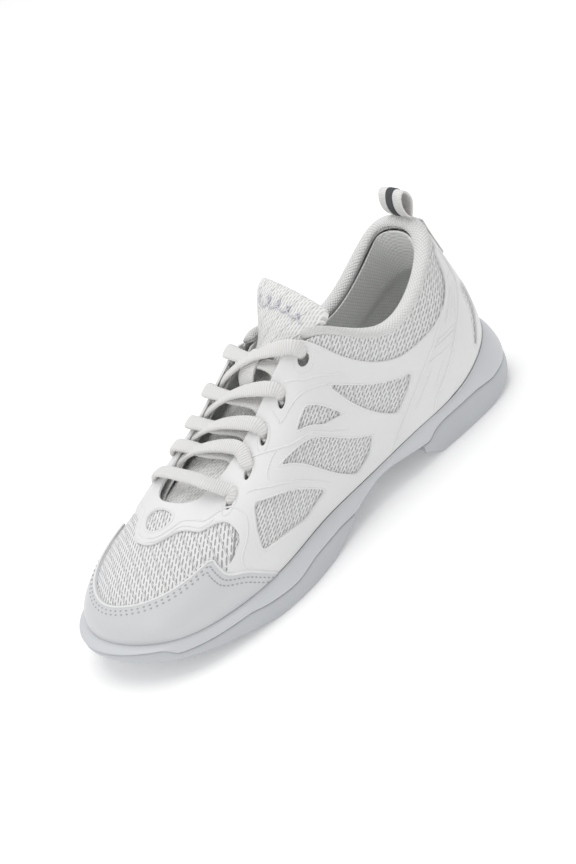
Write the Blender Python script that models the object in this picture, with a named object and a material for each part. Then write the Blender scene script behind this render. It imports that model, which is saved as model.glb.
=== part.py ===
"""Cheer shoe: a low lace-up trainer with a split sole, built as separate sub-parts in metres.

The toe points to -X, the heel to +X, the outer (lateral) side to -Y and the sole rests on z = 0.
"""
import math

import bmesh
import bpy
import numpy as np
from mathutils import Vector
from mathutils.geometry import delaunay_2d_cdt

for old in list(bpy.data.objects):
    bpy.data.objects.remove(old, do_unlink=True)

# ------------------------------------------------------------------ driving sizes, millimetres
MM = 0.001
# Round the shoe, station 0 at the back of the heel, 9 at the toe, odd sides mirrored by hand:
# where the upper meets the sole (x, y, z), the collar or throat edge (x, y, z), then the length and
# lean in degrees of the wall as it leaves the sole, and the length and tilt as it reaches the top.
STATIONS = np.array([
    [125, 0, 33, 118, 0, 97, 22, 9, 24, 84],
    [114, -25, 31, 112, -19, 92, 20, 9, 24, 84],
    [86, -35, 23, 90, -30, 80, 18, 8, 20, 84],
    [52, -35, 20, 62, -32, 74, 18, 4, 20, 84],
    [18, -34, 17, 38, -27, 90.5, 24, 6, 26, 78],
    [-16, -39, 18, 19, -17.5, 92, 28, 8, 24, 52],
    [-48, -45, 17, -10, -17, 75, 24, 10, 22, 38],
    [-82, -42, 16, -35, -16.5, 62, 18, 12, 22, 27],
    [-110, -29, 18, -55, -12, 55.5, 15, 12, 26, 20],
    [-125, 4, 20, -64, 1, 56, 13, 8, 28, 18],
    [-113, 33, 20, -62, 12, 57, 14, 2, 24, 22],
    [-84, 42, 18, -46, 16, 62.5, 18, 4, 20, 28],
    [-50, 42, 17, -21, 17, 73.5, 24, 8, 20, 40],
    [-18, 33, 18, 8, 18, 88, 26, 10, 24, 52],
    [16, 28, 20, 34, 27, 84, 22, 10, 22, 78],
    [52, 30, 21, 60, 31, 70, 18, 10, 18, 84],
    [86, 33, 24, 88, 30, 78, 20, 10, 20, 84],
    [114, 25, 31, 110, 22, 93, 22, 10, 24, 84]], float)
TURN = float(len(STATIONS))
SOLE_FLARE = [5.0, 3.5, 0.0, 0.0, 0.0, 3.5, 4.5, 4.0, 4.0, 5.5, 4.0, 4.0, 4.0, 3.0, 0.5, 0.0, 0.0, 3.0]
GROUND = [(-131, 13), (-121, 10), (-110, 8.2), (-97, 6.2), (-84, 3.9), (-70, 1.5), (-60, 0), (-24, 0),
          (-10, 2.5), (3, 6), (17, 10), (29, 11), (42, 10), (55, 4), (62, 0), (98, 0), (108, 1.5),
          (121, 4.5), (131, 8)]
GROOVE = [(-131, 17.2), (-122, 16.9), (-114, 16.3), (-108, 12.4), (-84, 11.8), (-75, 12), (-63, 10),
          (-48, 9), (-30, 11.6), (-12, 10.7), (3, 8.6), (10, 10), (29, 13), (44, 11.4), (55, 10.4),
          (63, 14), (71, 15), (90, 15), (106, 13), (131, 13)]
BED = [(-131, 18.4), (-121, 16.8), (-110, 15.2), (-97, 13.6), (-82, 12.7), (-65, 12.3), (-48, 12.2), (-16, 13.5),
       (18, 14.4), (52, 15.5), (86, 18), (131, 22)]
PAD_BACK_OF_FOREFOOT = 6.0
PAD_FRONT_OF_HEEL = 46.0
PAD_THICK = 3.6
GAP = 0.4
FLOOR_GAP = [(-131, 0.5), (-97, 0.5), (-62, 3.0), (131, 3.0)]  # foam above the pads, thin at the toe
SKIRT = 2.0                                     # how far the upper tucks inside the sole rim
OVERLAY = (0.5, -0.15)                           # outer and inner offsets from the upper's surface
MESH = (-1.0, -1.75)
STIFFENER = (-2.5, -3.3)
LINING_DEPTH = 4.0
LINING_THICK = 1.0
PADDING_THICK = 4.6
EYELETS = [(4.88, 0.875), (5.55, 0.845), (6.08, 0.84), (6.54, 0.79), (7.01, 0.75)]
EYELET_RADIUS = 3.5
LACE_RADIUS = 1.8
TONGUE_TOP = [(-80, 40), (-64, 46.5), (-50, 51.5), (-35, 58), (-20, 65.5), (-10, 70.5), (5, 78.8), (19, 88.2),
              (28, 97), (38, 103.5), (43, 105.5)]
TONGUE_HALF = [(-80, 21), (-40, 23), (-10, 22), (0, 19), (9, 16), (20, 15), (27, 15.5), (33, 20), (38, 23.5),
               (43, 22)]
TONGUE_DROP = [(-80, 0.022), (-60, 0.028), (0, 0.030), (19, 0.022), (30, 0.008), (43, 0.003)]
TONGUE_TILT = [(-80, 0.0), (19, 0.0), (34, 0.2), (43, 0.22)]
TONGUE_THICK = 5.0
TONGUE_FOLD = 21.0
TONGUE_END = 43.0
LOOP_PIVOT = (114.0, 0.0, 99.6)
LOOP_WIDTH = 18.0


# ------------------------------------------------------------------ small helpers
def smooth(knots, x):
    """Piecewise curve through (x, value) knots that never overshoots them."""
    ks = np.array(knots, float)
    rise = np.diff(ks[:, 1]) / np.diff(ks[:, 0])
    before, after = np.append(rise[:1], rise), np.append(rise, rise[-1:])
    slopes = np.where(before * after > 0, 2 * before * after / np.where(before + after == 0, 1, before + after), 0)
    x = np.clip(np.asarray(x, float), ks[0, 0], ks[-1, 0])
    i = np.clip(np.searchsorted(ks[:, 0], x, side="right") - 1, 0, len(ks) - 2)
    h = ks[i + 1, 0] - ks[i, 0]
    u = (x - ks[i, 0]) / h
    return ((2 * u**3 - 3 * u**2 + 1) * ks[i, 1] + (u**3 - 2 * u**2 + u) * h * slopes[i]
            + (3 * u**2 - 2 * u**3) * ks[i + 1, 1] + (u**3 - u**2) * h * slopes[i + 1])


def ring_spline(values):
    """Closed cubic spline through equally spaced values, one station apart."""
    y = np.asarray(values, float)
    n = len(y)
    bend = np.zeros((n, n))
    for i in range(n):
        bend[i, (i - 1) % n], bend[i, i], bend[i, (i + 1) % n] = 1, 4, 1
    m = np.linalg.solve(bend, 6 * (np.roll(y, 1) - 2 * y + np.roll(y, -1)))

    def at(k):
        k = np.mod(k, n)
        i = np.floor(k).astype(int) % n
        j = (i + 1) % n
        u = k - np.floor(k)
        v = 1 - u
        return v * y[i] + u * y[j] + ((v**3 - v) * m[i] + (u**3 - u) * m[j]) / 6
    return at


CURVES = [ring_spline(STATIONS[:, c]) for c in range(10)]
FLARE = ring_spline(SOLE_FLARE)


def plan_normal(k):
    """Level direction pointing out of the footprint at station k."""
    d = 1e-3
    tx = CURVES[0](k + d) - CURVES[0](k - d)
    ty = CURVES[1](k + d) - CURVES[1](k - d)
    n = np.stack([-ty, tx, 0 * tx], -1)
    return n / np.linalg.norm(n, axis=-1, keepdims=True)


def wall(k, t):
    """Upper's middle surface: t = 0 at the sole, 1 at the collar or throat edge, below 0 straight down."""
    k, t = np.broadcast_arrays(np.asarray(k, float), np.asarray(t, float))
    v = [c(k) for c in CURVES]
    foot, top = np.stack(v[0:3], -1), np.stack(v[3:6], -1)
    n = plan_normal(k)
    out = (foot - top) * [1, 1, 0]
    out = out / np.maximum(np.linalg.norm(out, axis=-1, keepdims=True), 1e-6)
    a, b = np.radians(v[7])[..., None], np.radians(v[9])[..., None]
    up = np.array([0, 0, 1.0])
    w = np.sin(b)
    lean = (1 - w) * out + w * n
    lean = lean / np.linalg.norm(lean, axis=-1, keepdims=True)
    p1 = foot + v[6][..., None] * (np.cos(a) * up + np.sin(a) * n)
    p2 = top + v[8][..., None] * (np.cos(b) * lean - np.sin(b) * up)
    u = np.clip(t, 0, None)[..., None]
    s = 1 - u
    bez = s**3 * foot + 3 * s**2 * u * p1 + 3 * s * u**2 * p2 + u**3 * top
    return bez + np.minimum(t, 0)[..., None] * SKIRT * up


def upper(k, t, off=0.0):
    """Point on the upper's wall moved out along its normal by off millimetres."""
    d = 1e-3
    k, t = np.broadcast_arrays(np.asarray(k, float), np.asarray(t, float))
    n = np.cross(wall(k, t + d) - wall(k, t - d), wall(k + d, t) - wall(k - d, t))
    n = n / np.linalg.norm(n, axis=-1, keepdims=True)
    return wall(k, t) + np.asarray(off, float)[..., None] * n


def lining_depth(k, t):
    """Depth of the lining's outer face below the upper's surface, more behind the collar padding."""
    near_heel = 1 - np.clip((np.abs((np.asarray(k) + 9) % 18 - 9) - 3.2) / 1.4, 0, 1)
    rise = np.clip((np.asarray(t) - 0.40) / 0.20, 0, 1)
    ease = lambda u: u * u * (3 - 2 * u)
    return LINING_DEPTH + PADDING_THICK * ease(near_heel) * ease(rise)


def pick_color(red, green, blue):
    return (red, green, blue, 1.0)


WHITE = pick_color(0.80, 0.80, 0.80)
COOL = pick_color(0.74, 0.75, 0.77)
WARM = pick_color(0.82, 0.81, 0.79)
DARK = pick_color(0.08, 0.08, 0.09)


def material(name, color, rough):
    mat = bpy.data.materials.new(name)
    mat.use_nodes = True
    shader = mat.node_tree.nodes["Principled BSDF"]
    shader.inputs["Base Color"].default_value = color
    shader.inputs["Roughness"].default_value = rough
    return mat


PARTS = bpy.data.collections.new("cheer_shoe")
bpy.context.scene.collection.children.link(PARTS)


def add_part(name, verts, faces, color, rough, pivot=(0, 0, 0)):
    """Closed mesh from millimetre points, its origin on the pivot."""
    mesh = bpy.data.meshes.new(name)
    pivot = np.array(pivot, float)
    mesh.from_pydata([Vector(v) for v in (np.asarray(verts, float) - pivot) * MM], [], faces)
    bm = bmesh.new()
    bm.from_mesh(mesh)
    bmesh.ops.remove_doubles(bm, verts=bm.verts, dist=0.00002)
    bmesh.ops.recalc_face_normals(bm, faces=bm.faces)
    bmesh.ops.triangulate(bm, faces=bm.faces)
    bm.to_mesh(mesh)
    bm.free()
    obj = bpy.data.objects.new(name, mesh)
    obj.location = pivot * MM
    mesh.materials.append(material(name + "_mat", color, rough))
    PARTS.objects.link(obj)
    return obj


def inside(loop, pts):
    """True for each point inside a closed loop."""
    x, y = pts[:, 0:1], pts[:, 1:2]
    a, b = loop, np.roll(loop, -1, 0)
    cross = (a[:, 1] > y) != (b[:, 1] > y)
    edge = a[:, 0] + (y - a[:, 1]) / np.where(b[:, 1] == a[:, 1], 1e-9, b[:, 1] - a[:, 1]) * (b[:, 0] - a[:, 0])
    return (np.sum(cross & (x < edge), axis=1) % 2) == 1


def clearance(loop, pts):
    """Distance of each point to a closed loop."""
    a, b = loop[None], np.roll(loop, -1, 0)[None]
    p = pts[:, None]
    u = np.clip(np.sum((p - a) * (b - a), -1) / np.maximum(np.sum((b - a)**2, -1), 1e-9), 0, 1)
    return np.min(np.linalg.norm(p - a - u[..., None] * (b - a), axis=-1), axis=1)


SCALE = np.array([30.0, 75.0])                  # rough millimetres per station and per unit of t
COLUMNS = np.concatenate([np.arange(0, 1.9, 0.25), np.arange(2.0, 6.9, 0.5), np.arange(7.0, 11.1, 0.25),
                          np.arange(11.5, 16.1, 0.5), np.arange(16.25, 17.9, 0.25)])
ROWS = np.array([-1.0, 0.0, 0.2, 0.4, 0.6, 0.76, 0.90])


def resample(points, step):
    """Closed loop with corners kept and long sides cut into equal steps."""
    out = []
    pts = np.array(points, float)
    for a, b in zip(pts, np.roll(pts, -1, 0)):
        n = max(1, int(round(np.linalg.norm((b - a) * SCALE) / step)))
        out += [a + (b - a) * i / n for i in range(n)]
    return np.array(out)


def rounded(points, step=7.0, rounds=2):
    """Closed loop with its corners cut back twice, then resampled."""
    pts = np.array(points, float)
    for _ in range(rounds):
        nxt = np.roll(pts, -1, 0)
        pts = np.stack([pts * 0.78 + nxt * 0.22, pts * 0.22 + nxt * 0.78], 1).reshape(-1, 2)
    return thin(pts, step * 0.45)


def thin(pts, least):
    """Drops points closer than the least spacing."""
    keep = [pts[0]]
    for p in pts[1:]:
        if np.linalg.norm((p - keep[-1]) * SCALE) >= least:
            keep.append(p)
    if np.linalg.norm((keep[0] - keep[-1]) * SCALE) < least * 0.6:
        keep.pop()
    return np.array(keep)


def mirrored(points):
    """The same outline on the other side of the shoe."""
    return [(TURN - k, t) for k, t in reversed(list(points))]


def hole_loop(k, t, radius, count=10):
    """Round hole of a given radius drawn in station units."""
    d = 1e-3
    along = np.linalg.norm(wall(k + d, t) - wall(k - d, t)) / (2 * d)
    rise = np.linalg.norm(wall(k, t + d) - wall(k, t - d)) / (2 * d)
    a = np.arange(count) * 2 * math.pi / count
    return np.stack([k + radius * np.cos(a) / along, t + radius * np.sin(a) / rise], -1)


def flat_net(outline, holes, wrap=False, margin=2.6):
    """Triangles filling an outline with holes, following the shoe's own column and row grid."""
    grid = np.array([(k, t) for k in COLUMNS for t in ROWS])
    if not wrap:
        grid = np.concatenate([grid - [TURN, 0], grid, grid + [TURN, 0]])
    loops = [np.asarray(outline, float)] + [np.asarray(h, float) for h in holes]
    keep = inside(loops[0], grid)
    for loop in loops:
        keep &= clearance(loop * SCALE, grid * SCALE) > margin
    for loop in loops[1:]:
        keep &= ~inside(loop, grid)
    pts, edges, start = [], [], 0
    for loop in loops:
        n = len(loop)
        pts += [tuple(p) for p in loop]
        edges += [(start + i, start + (i + 1) % n) for i in range(n)]
        start += n
    pts += [tuple(p) for p in grid[keep]]
    co, _, tris, _, _, _ = delaunay_2d_cdt([Vector((p[0] * SCALE[0], p[1] * SCALE[1])) for p in pts],
                                           edges, [], 0, 1e-4)
    co = np.array([(c[0] / SCALE[0], c[1] / SCALE[1]) for c in co])
    mid = np.array([co[list(t)].mean(0) for t in tris])
    good = inside(loops[0], mid)
    for loop in loops[1:]:
        good &= ~inside(loop, mid)
    return co, [tuple(t) for t, g in zip(tris, good) if g]


def shell(name, outline, holes, outer, inner, color, rough, wrap=False):
    """Closed skin between two offsets of the upper's wall, filling an outline with holes."""
    uv, tris = flat_net(outline, holes, wrap)
    if wrap:
        seam = {round(t, 5): i for i, (k, t) in enumerate(uv) if abs(k) < 1e-5}
        swap = {i: seam[round(t, 5)] for i, (k, t) in enumerate(uv) if abs(k - TURN) < 1e-5}
        tris = [tuple(swap.get(i, i) for i in t) for t in tris]
    lift = outer(uv[:, 0], uv[:, 1]) if callable(outer) else outer
    sink = inner(uv[:, 0], uv[:, 1]) if callable(inner) else inner
    verts = np.concatenate([upper(uv[:, 0], uv[:, 1], lift), upper(uv[:, 0], uv[:, 1], sink)])
    n = len(uv)
    used = {}
    for a, b, c in tris:
        for e in ((a, b), (b, c), (c, a)):
            used[e] = True
    rim = [e for e in used if (e[1], e[0]) not in used]
    faces = [t for t in tris] + [(c + n, b + n, a + n) for a, b, c in tris]
    faces += [(b, a, a + n, b + n) for a, b in rim]
    live = sorted({i for f in faces for i in f})
    order = {old: new for new, old in enumerate(live)}
    return add_part(name, verts[live], [tuple(order[i] for i in f) for f in faces], color, rough)


def loft(name, rings, color, rough, closed=False, pivot=(0, 0, 0)):
    """Skin through equal rings; ends filled from their middle unless the loft closes on itself."""
    rings = [np.asarray(r, float) for r in rings]
    n = len(rings[0])
    verts = np.concatenate(rings)
    faces = []
    for r in range(len(rings) - (0 if closed else 1)):
        a, b = r * n, ((r + 1) % len(rings)) * n
        faces += [(a + i, a + (i + 1) % n, b + (i + 1) % n, b + i) for i in range(n)]
    if not closed:
        verts = np.concatenate([verts, rings[0].mean(0)[None], rings[-1].mean(0)[None]])
        last = (len(rings) - 1) * n
        faces += [((i + 1) % n, i, len(verts) - 2) for i in range(n)]
        faces += [(last + i, last + (i + 1) % n, len(verts) - 1) for i in range(n)]
    return add_part(name, verts, faces, color, rough, pivot)


# ------------------------------------------------------------------ sole
def footprint(k, out):
    """Plan point of the sole's edge, moved outwards."""
    foot = np.stack([CURVES[0](k), CURVES[1](k), 0 * np.asarray(k, float)], -1)
    return foot + np.asarray(out, float)[..., None] * plan_normal(k)


def at_height(points, z):
    points = np.array(points, float)
    points[:, 2] = z
    return points


def shrunk(points, factor, height):
    """Ring pulled towards the middle of the sole, its height read from a curve along the shoe."""
    mid = np.array([2.0, 0.0, 0.0])
    pts = mid + (np.array(points) - mid) * [factor, factor, 1]
    return at_height(pts, height(pts[:, 0]))


def ground(x):
    return smooth(GROUND, x)


def padded_zone(x):
    """1 over the two outsole pads, 0 under the bare arch."""
    fore = np.clip((PAD_BACK_OF_FOREFOOT + 8 - x) / 7.0, 0, 1)
    heel = np.clip((x - PAD_FRONT_OF_HEEL + 8) / 7.0, 0, 1)
    return np.maximum(fore, heel)


def under_floor(x):
    gap = np.interp(x, *np.transpose(FLOOR_GAP))
    return ground(x) + (PAD_THICK + gap) * padded_zone(x)


def bed(x):
    return smooth(BED, x)


def tuck(k, flare):
    """Offset from which foam and rubber step in together; a little further out round the toe."""
    return flare + 0.95 * np.clip((-104 - footprint(k, flare)[:, 0]) / 6, 0, 1)


def build_midsole():
    """Foam cup: foot bed, raised rim, bulging side, then stepped in to sit inside the outsole pads."""
    k = np.asarray(COLUMNS)
    rim = CURVES[2](k)
    flare = FLARE(k)
    edge = footprint(k, flare)
    groove = smooth(GROOVE, edge[:, 0])
    zone = padded_zone(edge[:, 0])
    low = ground(edge[:, 0])
    inner = footprint(k, 0.9 + 0 * k)
    step = tuck(k, flare)
    sunk = under_floor(footprint(k, step - 3.6)[:, 0])
    rings = [shrunk(inner, 0.4, bed), shrunk(inner, 0.8, bed), at_height(inner, bed(inner[:, 0])),
             at_height(inner, rim - 0.2),
             at_height(footprint(k, 2.5 + 0 * k), rim - 0.9),
             at_height(footprint(k, 2.9 + 0.55 * flare), 0.5 * (rim + groove)),
             at_height(footprint(k, flare + 0.8), groove + GAP),
             at_height(footprint(k, step - 3.2 * zone - 1.2 * (1 - zone)),
                       zone * (groove + GAP) + (1 - zone) * (low + 0.6)),
             at_height(footprint(k, step - 3.6), sunk),
             shrunk(footprint(k, step - 3.6), 0.8, under_floor),
             shrunk(footprint(k, step - 3.6), 0.6, under_floor),
             shrunk(footprint(k, step - 3.6), 0.4, under_floor)]
    loft("midsole", rings, COOL, 0.55)


def pad_ring(k, out, ends, end_in, z_side, z_end):
    """Ring round one outsole pad: the sole's edge for stations k, then straight across the arch end."""
    side = footprint(k, out)
    side = at_height(side, z_side)
    a, b = side[-1], side[0]
    across = np.linspace(0, 1, 8)[1:-1, None]
    cut = a + (b - a) * across
    cut[:, 0] += ends * (end_in - 0.4 * np.sin(math.pi * across[:, 0]))
    cut[:, 2] = z_end(cut[:, 0])
    return np.concatenate([side, cut])


def build_pad(name, first, last, ends):
    """Rubber pad with a rim wrapped up the side of the foam."""
    k = COLUMNS[(COLUMNS >= first) & (COLUMNS <= last)] if first < last else \
        np.concatenate([COLUMNS[COLUMNS >= first] - TURN, COLUMNS[COLUMNS <= last]])
    flare = FLARE(k)
    edge = footprint(k, flare)
    low = ground(edge[:, 0])
    groove = smooth(GROOVE, edge[:, 0])
    lift = lambda dz: (lambda x: ground(x) + dz)
    depth = lambda out: ground(footprint(k, out)[:, 0])
    step = tuck(k, flare)
    rings = [pad_ring(k, flare - 3.0, ends, 3.0, depth(flare - 3.0), lift(0)),
             pad_ring(k, flare - 0.9, ends, 1.0, low + 1.0, lift(0.8)),
             pad_ring(k, flare + 0.4, ends, 0.2, 0.6 * low + 0.4 * groove, lift(1.8)),
             pad_ring(k, flare + 0.7, ends, 0.0, groove, lift(2.6)),
             pad_ring(k, step - 2.7, ends, 0.9, groove, lift(PAD_THICK - 1.2)),
             pad_ring(k, step - 3.1, ends, 2.2, depth(step - 3.1) + PAD_THICK, lift(PAD_THICK - 1.0))]
    mid = np.array([rings[0][:, 0].mean() * 0.6 + (edge[:, 0].min() + edge[:, 0].max()) * 0.2, 0, 0])

    def centre(ring, factor, dz):
        pts = mid + (ring - mid) * [factor, factor, 1]
        return at_height(pts, ground(pts[:, 0]) + dz)
    rings = [centre(rings[0], 0.35, 0), centre(rings[0], 0.7, 0)] + rings \
        + [centre(rings[-1], 0.7, PAD_THICK), centre(rings[-1], 0.35, PAD_THICK)]
    loft(name, rings, COOL, 0.6)


def flat_sheet(name, inset, low, high, color, rough):
    """Sheet following the foot bed between two heights above it."""
    k = np.asarray(COLUMNS)
    edge = footprint(k, 0 * k - inset)
    rings = []
    for factor, lift in ((0.33, low), (0.71, low), (1.0, low), (1.0, high), (0.71, high), (0.33, high)):
        rings.append(shrunk(edge, factor, lambda x, lift=lift: bed(x) + lift))
    loft(name, rings, color, rough)


# ------------------------------------------------------------------ upper
CAGE_FRONT = [(6.84, 0.345), (6.70, 0.42), (6.74, 0.50), (7.05, 0.65), (7.40, 0.72), (7.69, 0.735),
              (8.0, 0.80), (8.25, 0.82), (8.50, 0.78), (8.72, 0.74), (9.0, 0.73)]
CAGE_SIDE = [(5.95, 0.012), (6.01, 0.05), (6.43, 0.225), (6.84, 0.345)]
CAGE_REAR = [(0.92, 0.89), (0.84, 0.76), (0.92, 0.60), (1.20, 0.44), (1.70, 0.24), (2.15, 0.04), (2.22, 0.012)]
COLLAR_PANEL = [(4.72, 0.97), (4.45, 0.90), (4.15, 0.83), (3.70, 0.78), (3.2, 0.745), (2.55, 0.70), (2.0, 0.64),
                (1.55, 0.66), (1.28, 0.74), (1.18, 0.89)]
WINDOWS = [[(4.50, 0.665), (3.9, 0.625), (3.2, 0.575), (2.80, 0.535), (2.95, 0.40), (3.20, 0.28), (3.75, 0.45)],
           [(5.38, 0.60), (5.12, 0.655), (4.65, 0.57), (4.24, 0.485), (4.70, 0.485)],
           [(5.83, 0.575), (5.0, 0.47), (3.72, 0.255), (3.85, 0.14), (4.15, 0.085), (5.0, 0.33)],
           [(6.42, 0.57), (5.7, 0.39), (4.80, 0.155), (5.3, 0.12), (6.26, 0.24), (6.36, 0.40)]]
TEARDROP = [(9.0, 0.955), (8.62, 0.93), (8.58, 0.87), (8.85, 0.815), (9.15, 0.815), (9.42, 0.87), (9.38, 0.93)]
TOE_EDGE = [(6.04, 0.012), (6.08, 0.02), (6.50, 0.195), (6.90, 0.305), (7.10, 0.40), (7.30, 0.49),
            (7.64, 0.47), (8.12, 0.415), (8.50, 0.375), (9.0, 0.345)]


def eyelet_holes(radius):
    """The ten lace holes, lateral row then medial row."""
    both = EYELETS + [(TURN - k, t) for k, t in EYELETS]
    return [hole_loop(k, t, radius) for k, t in both]


def top_edge(k):
    """Highest row the mesh reaches: under the collar roll at the ankle, near the edge at the throat."""
    near = np.abs((k + 9) % 18 - 9)
    return 0.910 + 0.068 * np.clip((near - 4.9) / 0.5, 0, 1)


def ring_outline(drop=0.0):
    """Outline of a layer running all the way round, cut open at the back of the heel."""
    cols = np.append(COLUMNS, TURN)
    low = [(k, -1.0 + drop * 0) for k in cols]
    left = [(0.0, r) for r in ROWS[1:-1]][::-1]
    right = [(TURN, r) for r in ROWS[1:-1]]
    high = [(k, float(top_edge(k)) - drop) for k in cols[::-1]]
    return np.array(low + right + high + left)


def build_cage():
    """Smooth fused cage: sides, eyestays and vamp bridge in one piece, with mesh windows."""
    lateral_top = [(k, 1.0) for k in (9.0, 8.5, 8.0, 7.5, 7.0, 6.5, 6.0, 5.5, 5.1, 4.85)]
    side = lateral_top[1:] + COLLAR_PANEL + CAGE_REAR + [(k, 0.012) for k in (3.0, 3.8, 4.6, 5.4)] \
        + CAGE_SIDE[:-1] + CAGE_FRONT
    outline = mirrored(side)[1:] + [(9.0, 1.0)] + side
    holes = [rounded(w) for w in WINDOWS] + [rounded(mirrored(w)) for w in WINDOWS]
    holes += [rounded(TEARDROP, 5.0)] + eyelet_holes(EYELET_RADIUS)
    shell("side_cage", resample(outline, 9.0), holes, OVERLAY[0], OVERLAY[1], WHITE, 0.5)


def build_toe_cap():
    low = [(k, 0.012) for k in (11.2, 10.5, 10.0, 9.5, 9.0, 8.5, 8.0, 7.5, 6.8)]
    outline = TOE_EDGE + mirrored(TOE_EDGE)[1:] + low
    shell("toe_cap", resample(outline, 8.0), [], OVERLAY[0] + 0.3, OVERLAY[1], COOL, 0.4)


def build_heel_overlay():
    side = [(2.02, 0.012), (1.95, 0.03), (1.30, 0.11), (0.78, 0.26), (0.55, 0.5), (0.60, 0.74), (0.70, 0.89)]
    outline = side + [(0.35, 0.895), (0.0, 0.895), (-0.35, 0.895)] + [(-k, t) for k, t in reversed(side)]
    outline += [(k, 0.012) for k in (-1.4, -0.7, 0.0, 0.7, 1.4)]
    shell("heel_overlay", resample(outline, 8.0), [], OVERLAY[0], OVERLAY[1], WHITE, 0.5)


def build_mesh_and_lining():
    shell("mesh_upper", ring_outline(), eyelet_holes(EYELET_RADIUS + 0.4), MESH[0], MESH[1], WHITE, 0.9, wrap=True)
    shell("upper_lining", ring_outline(), eyelet_holes(EYELET_RADIUS + 0.8),
          lambda k, t: -lining_depth(k, t), lambda k, t: -lining_depth(k, t) - LINING_THICK,
          COOL, 0.9, wrap=True)


def build_stiffeners():
    counter = [(1.9, 0.03), (1.9, 0.2), (1.4, 0.36), (0.0, 0.38), (-1.4, 0.36), (-1.9, 0.2), (-1.9, 0.03), (0.0, 0.03)]
    shell("heel_counter", resample(counter, 12.0), [], STIFFENER[0], STIFFENER[1], WARM, 0.6)
    puff = [(7.6, 0.04), (7.6, 0.30), (8.2, 0.36), (9.0, 0.32), (9.8, 0.36), (10.4, 0.30), (10.4, 0.04), (9.0, 0.04)]
    shell("toe_puff", resample(puff, 12.0), [], STIFFENER[0], STIFFENER[1], WARM, 0.6)


def build_padding():
    low, high = 0.64, 0.885
    outline = [(4.0, high), (3.0, low), (0, low), (-3.0, low), (-4.0, high)] + [(k, high) for k in (-2.5, 0, 2.5)]
    shell("collar_padding", resample(outline, 12.0), [], MESH[1] - 0.5,
          lambda k, t: -lining_depth(k, t) + 1.0, WARM, 0.9)


def build_collar_roll():
    """Knitted padded roll along the ankle opening, from one eyestay round the heel to the other."""
    ks = np.concatenate([[-4.68], np.arange(-4.5, 4.6, 0.30), [4.68]])
    turn = np.arange(10) * 2 * math.pi / 10
    rings = []
    for k in ks:
        full = 0.35 if abs(k) > 4.6 else 1.0
        plump = 4.4 - 1.9 * min(max((abs(k) - 3.2) / 1.0, 0), 1)
        wide, tall = plump * full, 3.1 * full
        edge = wall(k, 1.0)
        out = plan_normal(k)
        up = np.array([0, 0, 1.0])
        rings.append(edge - (plump - 0.4) * out - 1.5 * up
                     + np.outer(np.cos(turn) * wide, out) + np.outer(np.sin(turn) * tall, up))
    loft("collar_roll", rings, WARM, 0.9)


# ------------------------------------------------------------------ tongue, keeper, lace
def tongue_top(x, y):
    """Height of the tongue's upper face."""
    y = np.asarray(y, float)
    return smooth(TONGUE_TOP, x) - smooth(TONGUE_DROP, x) * y**2 + smooth(TONGUE_TILT, x) * y


def tongue_slab(name, x0, x1, rows, pivot=(0, 0, 0)):
    """Padded slab between two positions along the tongue."""
    across = np.array([-1, -0.96, -0.7, -0.35, 0, 0.35, 0.7, 0.96, 1])
    rings = []
    for x in np.linspace(x0, x1, rows):
        half = smooth(TONGUE_HALF, x)
        y = across * half
        slope = (smooth(TONGUE_TOP, x + 0.5) - smooth(TONGUE_TOP, x - 0.5))
        n = np.array([-slope, 0, 1.0]) / math.hypot(slope, 1)
        face = np.stack([0 * y + x, y, tongue_top(x, y)], -1)
        deep = np.where(np.abs(across) > 0.99, 1.6, 0.6)[:, None] * n
        under = np.where(np.abs(across) > 0.99, 3.4, TONGUE_THICK)[:, None] * n
        rings.append(np.concatenate([face - deep, (face - under)[::-1]]))
    return loft(name, rings, WHITE, 0.85, pivot=pivot)


def tongue_pivot():
    return (TONGUE_FOLD, 0.0, float(smooth(TONGUE_TOP, TONGUE_FOLD)))


def strap(name, path, width, thick, color, rough, closed=False, pivot=(0, 0, 0), y=0.0):
    """Flat band swept along a path in the XZ plane."""
    path = np.array(path, float)
    ahead = np.roll(path, -1, 0) if closed else np.concatenate([path[1:], path[-1:] * 2 - path[-2:-1]])
    behind = np.roll(path, 1, 0) if closed else np.concatenate([path[:1] * 2 - path[1:2], path[:-1]])
    d = ahead - behind
    d /= np.linalg.norm(d, axis=1)[:, None]
    n = np.stack([-d[:, 1], d[:, 0]], -1) * thick / 2
    rings = []
    for p, q in zip(path, n):
        rings.append([(p[0] + q[0], y - width / 2, p[1] + q[1]), (p[0] + q[0], y + width / 2, p[1] + q[1]),
                      (p[0] - q[0], y + width / 2, p[1] - q[1]), (p[0] - q[0], y - width / 2, p[1] - q[1])])
    return loft(name, rings, color, rough, closed=closed, pivot=pivot)


def build_keeper():
    """Webbing loop on the tongue that the top laces pass under."""
    line = lambda x, lift: (x, float(tongue_top(x, 0.0)) + lift)
    path = [line(-4, 1.1), line(-1.8, 1.6), line(-0.9, 7.5), line(2.0, 13.2), line(8.5, 14.2), line(14.5, 9.5),
            line(16.2, 2.6), line(19, 1.3)]
    strap("lace_keeper", path, 13.0, 1.0, WARM, 0.85)


def eyelet_point(row, side, off):
    """Point on the axis of one lace hole; side -1 lateral, +1 medial."""
    k, t = EYELETS[row]
    return upper(k if side < 0 else TURN - k, t, off)


def edge_point(row, side, shift, t, off):
    """Point over or under the throat edge beside a hole, shifted along towards the next row."""
    k = EYELETS[row][0] + shift
    return upper(k if side < 0 else TURN - k, t, off)


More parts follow.
